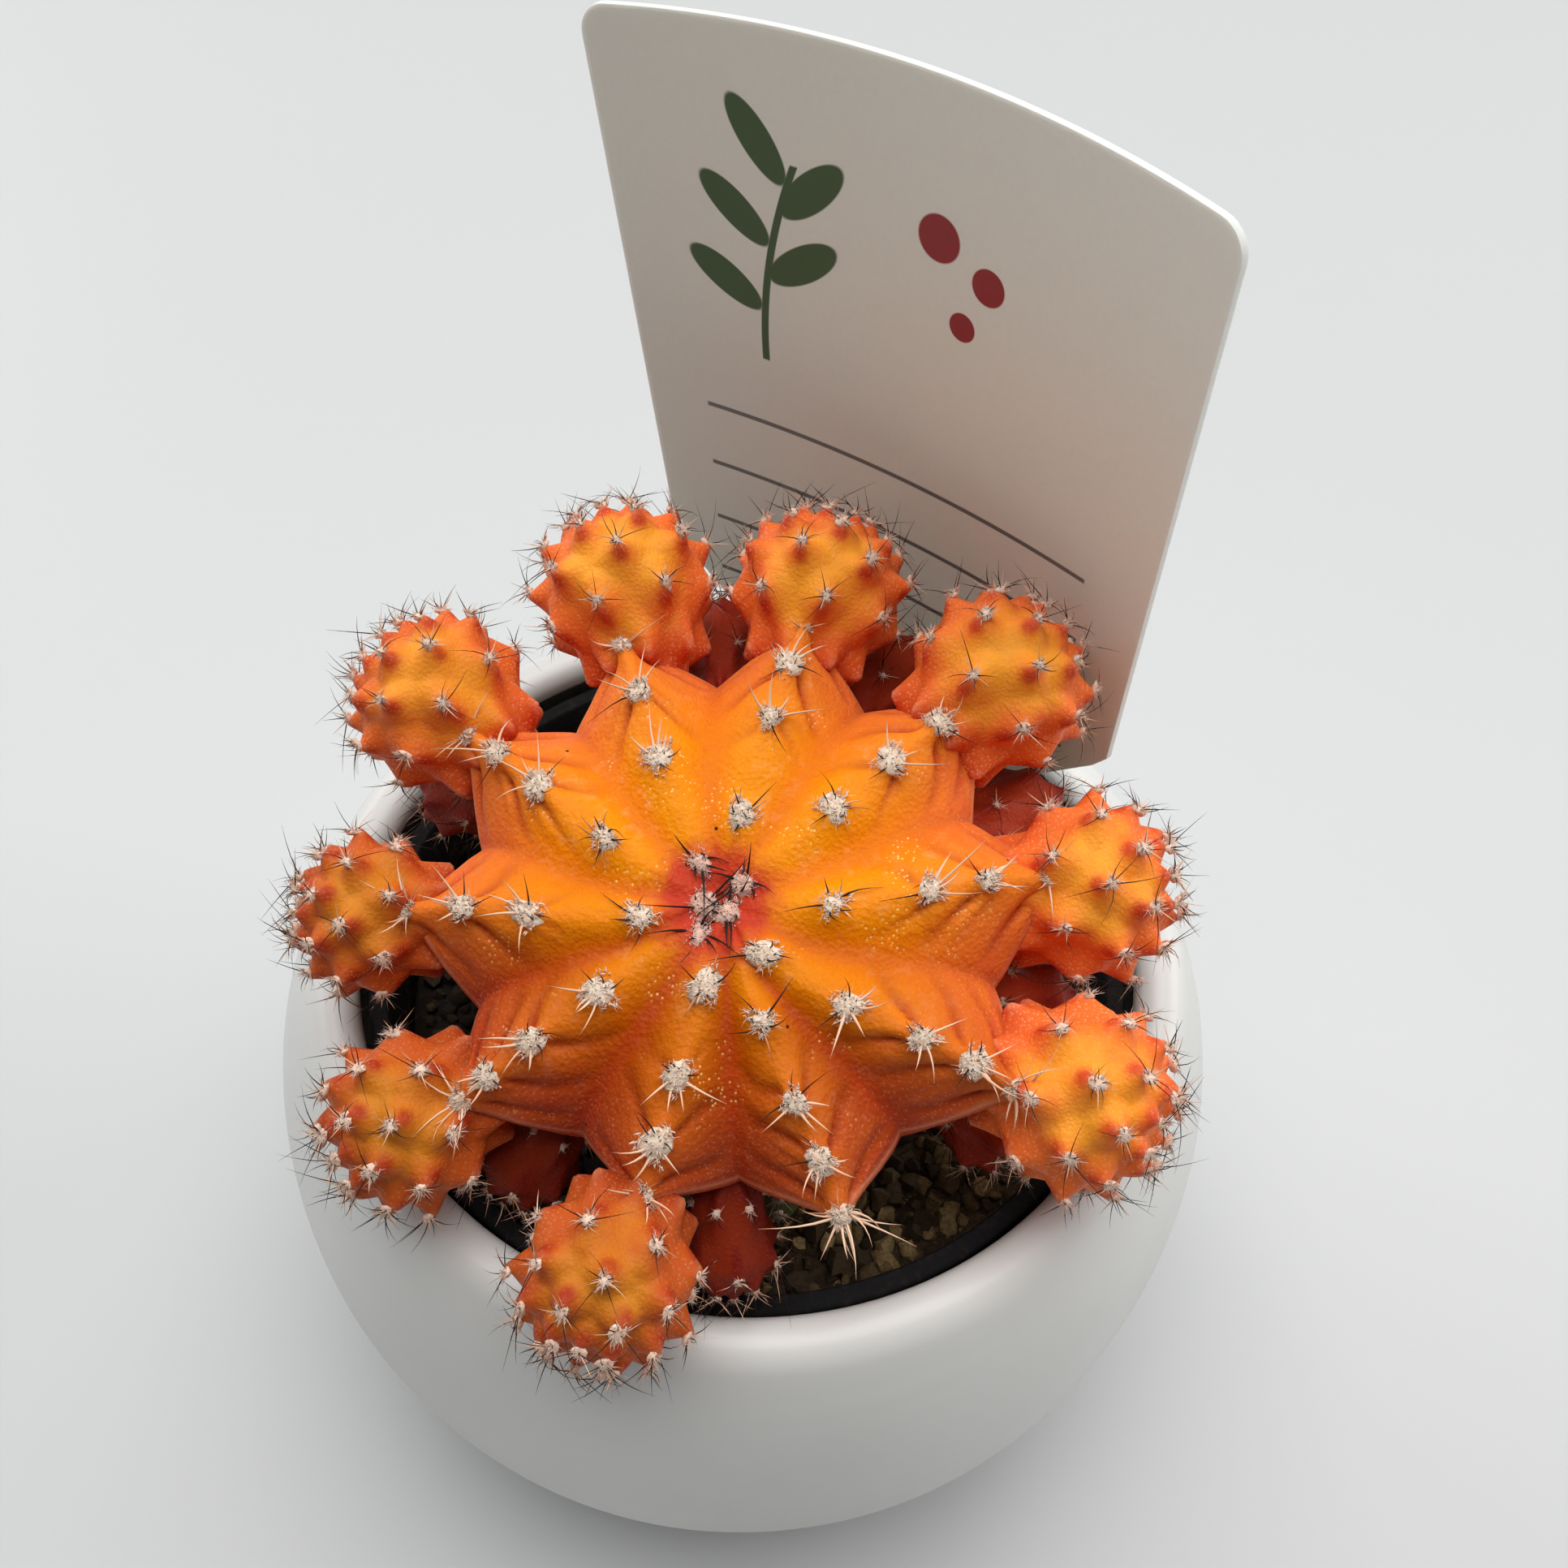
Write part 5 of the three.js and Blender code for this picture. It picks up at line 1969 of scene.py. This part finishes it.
@dataclass
class Stock:
    """The green three-ribbed stem that the head is grafted on."""

    bench: Bench
    shape: HeadShape
    foot: Vector = field(default_factory=lambda: Vector((-0.5, -9, 26)))
    ribs: int = 3
    rib_turn: float = -72.0
    rib_radius: float = 15.5
    rib_power: float = 1.6
    valley_radius: float = 8.6
    top_radius: float = 8.2
    top_from: float = 0.66
    foot_radius: float = 6.0
    foot_to: float = 0.4
    lean_from: float = 0.6
    graft_sunk: float = 0.3
    columns: int = 90
    rows: int = 48
    dents: Layers = ((0.14, 3.5, 4.0),)
    seed: int = 31
    areoles: tuple[float, ...] = (0.56, 0.64, 0.72, 0.8)
    felt: Felt = Felt(radius=0.85, height=0.5, bristles=12, fibres=20, reach=0.5, bristle_radius=0.06)
    green: Finish = StockSkin("green_skin")

    def skin(self, share: Array, angle: Array, reach: Array) -> tuple[Array, Array]:
        """Points on the stock.

        Args:
            share: Shares of the way from foot to graft.
            angle: Angles round it, in radians.
            reach: 1 on the skin and less inside it.

        Returns:
            The points, and how near a rib each one lies, from 0 to 1.
        """
        lobe = (0.5 + 0.5 * np.cos(self.ribs * (angle - math.radians(self.rib_turn)))) ** self.rib_power
        full = self.valley_radius + (self.rib_radius - self.valley_radius) * lobe
        to_top, to_foot = ease(share, self.top_from, 1), 1 - ease(share, 0, self.foot_to)
        radius = full + (self.top_radius - full) * to_top + (self.foot_radius - full) * to_foot
        graft = self.shape.place() @ Vector((0, 0, self.shape.base - self.graft_sunk))
        axis = self.shape.place().to_3x3() @ UP
        points = []
        for along, turn, ring in zip(share, angle, radius * reach):
            normal = UP.lerp(axis, float(ease(np.array(along), self.lean_from, 1))).normalized()
            flat = Vector((math.cos(turn), math.sin(turn), 0)) * ring
            flat.rotate(UP.rotation_difference(normal))
            points.append(flat + self.foot.lerp(graft, along))
        return np.array(points), lobe

    def build(self) -> None:
        """Makes the stock."""
        form = column_form(self.columns, self.rows)
        column = corners(form)
        up = column[:, 2]
        angle = np.arctan2(column[:, 1], column[:, 0])
        points, lobe = self.skin(up, angle, np.hypot(column[:, 0], column[:, 1]))
        place_corners(form, points)
        raised = dents(points, self.dents) * ease(up, 0.1, 0.2) * (1 - ease(up, 0.85, 0.95))
        place_corners(form, points + raised[:, None] * corner_normals(form))
        values = {"rib": lobe, "up": up}
        self.bench.piece("stock_skin", form, self.green, "green_stock", "stock", values=values, crease=50)
        self.add_areoles()

    def add_areoles(self) -> None:
        """Makes the felt and pale spines on the stock's ribs."""
        draw, pattern = random.Random(self.seed), self.bench.patterns.hair
        coat = Coat(self.bench, self.felt, pattern, draw, lambda at: True)
        for rib, share in product(range(self.ribs), self.areoles):
            turn = self.rib_turn + rib * 360 / self.ribs
            points, _ = self.skin(np.array([share]), np.array([math.radians(turn)]), np.array([1.0]))
            outward = level_way(turn)
            coat.grow(Areole(Vector(points[0]), -UP, outward.cross(-UP), outward, Zone.STOCK), 1.0, 0.0)
        coat.finish(("stock_felt", "stock_spines"), "green_stock", "stock")


# Soil and label


@dataclass
class SoilBed:
    """Gritty soil: a block of fines with crumbs bedded in its top."""

    bench: Bench
    cup: NurseryPot
    top: float = 48.0
    clearance: float = 0.3
    rings: int = 44
    steps: int = 120
    unevenness: Layers = ((0.55, 9, 1.0), (0.3, 3, 5.0), (0.12, 1.1, 9.0))
    crumb_spacing: float = 1.62
    row_spacing: float = 0.9
    crumb_radius: float = 0.62
    crumb_growth: float = 0.85
    crumb_shift: float = 0.3
    crumb_lift: float = 0.45
    crumb_turn: float = 6.28
    stock_at: Pair = (-0.5, -9.0)
    stock_room: float = 7.0
    seed: int = 17
    fines: Finish = SoilFines("soil_fines")
    crumbs: Finish = Crumbs("soil_crumbs")

    def surface(self, points: Array) -> Array:
        """Height of the soil's top above its level at each point."""
        return dents(points * np.array([1, 1, 0]), self.unevenness)

    def build(self) -> None:
        """Makes the soil."""
        inset = self.cup.wall + self.clearance
        bottom = self.cup.foot_height + inset
        edge = self.cup.radius_at(self.top) - inset
        rings = [(edge * (1 - i / self.rings), self.top) for i in range(1, self.rings + 1)]
        profile = [
            (0.0, bottom), (self.cup.radius_at(bottom) - inset, bottom),
            (self.cup.heel_radius - inset, self.cup.heel), (edge, self.top), *rings,
        ]
        form = turned_form(profile, self.steps)
        points = corners(form)
        on_top = (points[:, 2] > self.top - 1e-3) & (np.hypot(points[:, 0], points[:, 1]) < edge - 0.1)
        points[:, 2] += np.where(on_top, self.surface(points), 0)
        place_corners(form, points)
        self.bench.piece("soil_fines", form, self.fines, "gritty_soil", "soil", crease=60)
        self.add_crumbs(edge)

    def add_crumbs(self, edge: float) -> None:
        """Makes the crumbs, bedded in a loose net over the top and kept off the stock.

        Args:
            edge: Radius of the soil's top.
        """
        draw = random.Random(self.seed)
        cluster = Cluster("grain")
        steps, shift = int(edge / self.crumb_spacing) + 1, self.crumb_shift
        for i, j in product(range(-steps, steps + 1), repeat=2):
            x = (i + 0.5 * (j % 2) + draw.uniform(-shift, shift)) * self.crumb_spacing
            y = (j + draw.uniform(-shift, shift)) * self.crumb_spacing * self.row_spacing
            radius = self.crumb_radius + self.crumb_growth * draw.random() ** 2
            from_stock = math.hypot(x - self.stock_at[0], y - self.stock_at[1])
            if math.hypot(x, y) > edge - radius or from_stock < self.stock_room:
                continue
            pattern = draw.choice(self.bench.patterns.crumbs)
            turn = np.array(Euler([draw.uniform(0, self.crumb_turn) for _ in range(3)]).to_matrix())
            shape = pattern.points * np.array([1, draw.uniform(0.7, 1), draw.uniform(0.6, 0.95)])
            level = self.top + float(self.surface(np.array([[x, y, 0.0]]))[0])
            level += draw.uniform(0.0, self.crumb_lift) * radius
            cluster.add(pattern, shape @ turn * radius + np.array([x, y, level]), grain=draw.random())
        form, values = cluster.finish()
        self.bench.piece("soil_crumbs", form, self.crumbs, "gritty_soil", "soil", values=values, crease=55)


@dataclass
class PlantLabel:
    """Thin bent plastic label with an arched top, tapering to a stake in the soil."""

    bench: Bench
    place_at: Vector = field(default_factory=lambda: Vector((12.6, 25.7, 60)))
    azimuth: float = 53.5
    roll: float = -5.6
    thickness: float = 0.6
    bend_radius: float = 119.0
    half_width: float = 24.3
    flare: float = 0.0725
    top: float = 65.6
    arch: float = 0.002
    corner: float = 2.4
    lower_edge: Profile = (
        (0, -17.5), (0.05, -17), (0.09, -15), (0.13, -10), (0.5, -1.6), (0.95, 11), (1, 13),
    )
    columns: int = 96
    rows: int = 40
    spine_room: float = 1.0
    print_finish: Finish = LabelPrint("label_print")

    def place(self) -> Matrix:
        """Where the label's own frame lies.

        Returns:
            The way from it to the model's frame.
        """
        turn = Matrix.Rotation(math.radians(self.azimuth - 90), 4, "Z")
        roll = Matrix.Rotation(math.radians(self.roll), 4, "Y")
        return Matrix.Translation(self.place_at) @ turn @ roll

    def lies_behind(self, point: Vector) -> bool:
        """Whether the label stands behind a point in the model's frame, clear of it."""
        at = self.place().inverted() @ point
        return math.hypot(at.x, at.y + self.bend_radius) < self.bend_radius - self.spine_room

    def card_form(self) -> Form:
        """Makes the bent card.

        Returns:
            The card, cut to its outline and with its thickness.
        """
        form = bmesh.new()
        bmesh.ops.create_grid(form, x_segments=self.columns, y_segments=self.rows, size=1)
        grid = corners(form)
        share = 0.5 - 0.5 * np.cos(np.pi * np.abs(grid[:, 0]))
        half_top = self.half_width + self.flare * self.top
        into_corner = np.maximum(0, share * half_top - (half_top - self.corner))
        drop = self.corner - np.sqrt(np.maximum(0, self.corner**2 - into_corner**2))
        upper = self.top - self.arch * (share * half_top) ** 2 - drop
        lower = np.interp(share, *zip(*self.lower_edge))
        up = lower + (upper - lower) * (grid[:, 1] + 1) / 2
        bend = np.sign(grid[:, 0]) * share * (self.half_width + self.flare * up) / self.bend_radius
        x, y = self.bend_radius * np.sin(bend), -self.bend_radius * (1 - np.cos(bend))
        place_corners(form, np.stack([x, y + self.thickness / 2, up], axis=1))
        bmesh.ops.recalc_face_normals(form, faces=form.faces)
        if sum(face.normal.y for face in form.faces) < 0:
            bmesh.ops.reverse_faces(form, faces=form.faces)
        bmesh.ops.solidify(form, geom=form.faces, thickness=self.thickness)
        return form

    def build(self) -> None:
        """Makes the label."""
        form = self.card_form()
        points = corners(form)
        x, y = points[:, 0], points[:, 1] + self.bend_radius
        values = {
            "across": np.arctan2(x, y) * self.bend_radius,
            "up": points[:, 2],
            "front": (np.hypot(x, y) < self.bend_radius).astype(float),
        }
        self.bench.piece(
            "plant_label_card", form, self.print_finish, "label_card", "plant_label", self.place(), values,
            crease=35,
        )


# The studio


@dataclass(frozen=True)
class Lamp:
    """A soft square light that faces the plant: its middle, its side, its power in watts and its colour."""

    name: str
    place: tuple[float, float, float]
    side: float
    power: float
    colour: Colour
    lit_height: float = 60.0

    def build(self) -> None:
        """Makes the light."""
        lamp = bpy.data.lights.new(self.name, "AREA")
        lamp.size = self.side * MM
        lamp.energy = self.power
        lamp.color = self.colour
        made = put_in_scene(self.name, lamp)
        made.location = Vector(self.place) * MM
        aim = self.lit_height * UP * MM - made.location
        made.rotation_euler = aim.to_track_quat("-Z", "Y").to_euler()


@dataclass
class Studio:
    """Plain pale floor, soft light and the camera."""

    bench: Bench
    eye: Vector = field(default_factory=lambda: Vector((2.2, -75.7, 180.9)))
    look_down: float = 52.8
    roll: float = 3.7
    focal_pixels: float = 1937.0
    sensor: float = 36.0
    nearest: float = 5.0
    lamps: tuple[Lamp, ...] = (
        Lamp("sky_light", (0, 240, 1540), 1500, 28.5, (1.0, 0.995, 0.985)),
        Lamp("left_light", (-1100, 800, 650), 900, 8, (0.98, 0.99, 1.0)),
        Lamp("right_light", (1250, 400, 650), 900, 9, (1.0, 0.995, 0.99)),
    )
    room_colour: Colour = (0.97, 0.985, 1.0)
    room_strength: float = 0.09
    floor_half_side: float = 1500.0
    floor_finish: Finish = Floor("pale_floor")

    def add_camera(self) -> None:
        """Makes the camera at the photograph's angle."""
        down = math.radians(self.look_down)
        forward = Vector((0, math.cos(down), -math.sin(down)))
        level_up = Vector((0, math.sin(down), math.cos(down)))
        level_right = Vector((1, 0, 0))
        cosine, sine = math.cos(math.radians(self.roll)), math.sin(math.radians(self.roll))
        right = cosine * level_right + sine * level_up
        up = cosine * level_up - sine * level_right
        lens = bpy.data.cameras.new("camera")
        lens.sensor_width = self.sensor
        lens.lens = self.focal_pixels / IMAGE_SIDE * self.sensor
        lens.clip_start = self.nearest * MM
        camera = put_in_scene("camera", lens)
        turn = Matrix((right, up, -forward)).transposed().to_4x4()
        camera.matrix_world = Matrix.Translation(self.eye * MM) @ turn
        bpy.context.scene.camera = camera

    def add_room(self) -> None:
        """Makes the even light of the room."""
        world = bpy.data.worlds.new("room")
        world.use_nodes = True
        backdrop = world.node_tree.nodes["Background"].inputs
        backdrop["Color"].default_value = (*self.room_colour, 1)
        backdrop["Strength"].default_value = self.room_strength
        bpy.context.scene.world = world
        bpy.context.scene.view_settings.view_transform = "Standard"

    def add_floor(self) -> None:
        """Makes the floor."""
        form = bmesh.new()
        bmesh.ops.create_grid(form, x_segments=1, y_segments=1, size=self.floor_half_side)
        mesh = mesh_of("floor", form)
        mesh.transform(Matrix.Scale(MM, 4))
        mesh.materials.append(self.bench.material(self.floor_finish))
        put_in_scene("floor", mesh)

    def build(self) -> None:
        """Makes the studio."""
        self.add_camera()
        for lamp in self.lamps:
            lamp.build()
        self.add_room()
        self.add_floor()


def offset_makers(bench: Bench, shape: HeadShape, label: PlantLabel) -> dict[Size, OffsetMaker]:
    """The makers of the large offsets and of the small, darker ones.

    Args:
        bench: Where pieces are made.
        shape: The head that the offsets grow from.
        label: The label, which their spines stay clear of.

    Returns:
        One maker for each size.
    """
    # The small offsets' deep red is partly their own colour and partly painted shade, as they sit under the
    # head.
    young_shaded_flesh = OffsetFlesh(
        "young_offset_flesh_shaded", skin=(0.42, 0.045, 0.01), shade=(0.32, 0.025, 0.009),
        chin=(0.24, 0.012, 0.008), foot=(0.2, 0.012, 0.008), rim=(0.46, 0.08, 0.045),
    )
    large = OffsetMaker(
        bench, shape, label, Size.LARGE, columns=16, rows=7, tubercle=1.8, mound_width=1.4,
        faces_round=112, faces_along=72, flesh=OffsetFlesh("offset_flesh"), slot="orange_offset",
        felt=Felt(radius=0.7, height=0.3, bristles=8, fibres=24, reach=0.6, bristle_radius=0.06),
    )
    small = OffsetMaker(
        bench, shape, label, Size.SMALL, columns=14, rows=6, tubercle=0.8, mound_width=0.85,
        faces_round=72, faces_along=54, flesh=young_shaded_flesh, slot="red_offset",
        felt=Felt(radius=0.42, height=0.18, bristles=4, fibres=12, reach=0.45, bristle_radius=0.045),
    )
    return {Size.LARGE: large, Size.SMALL: small}


def main() -> None:
    """Builds the studio and every sub-assembly in order."""
    logging.basicConfig(level=logging.INFO, format="%(message)s")
    bench = Bench()
    shape, cup, label = HeadShape(), NurseryPot(bench), PlantLabel(bench)
    Studio(bench).build()
    CoverPot(bench).build()
    cup.build()
    SoilBed(bench, cup).build()
    Stock(bench, shape).build()
    Head(bench, shape).build()
    makers = offset_makers(bench, shape, label)
    for number, offset in enumerate(OFFSETS):
        makers[offset.size].build(offset, 100 + number)
    label.build()
    log.info("all pieces: %d triangles", bench.triangles)


if __name__ == "__main__":
    main()
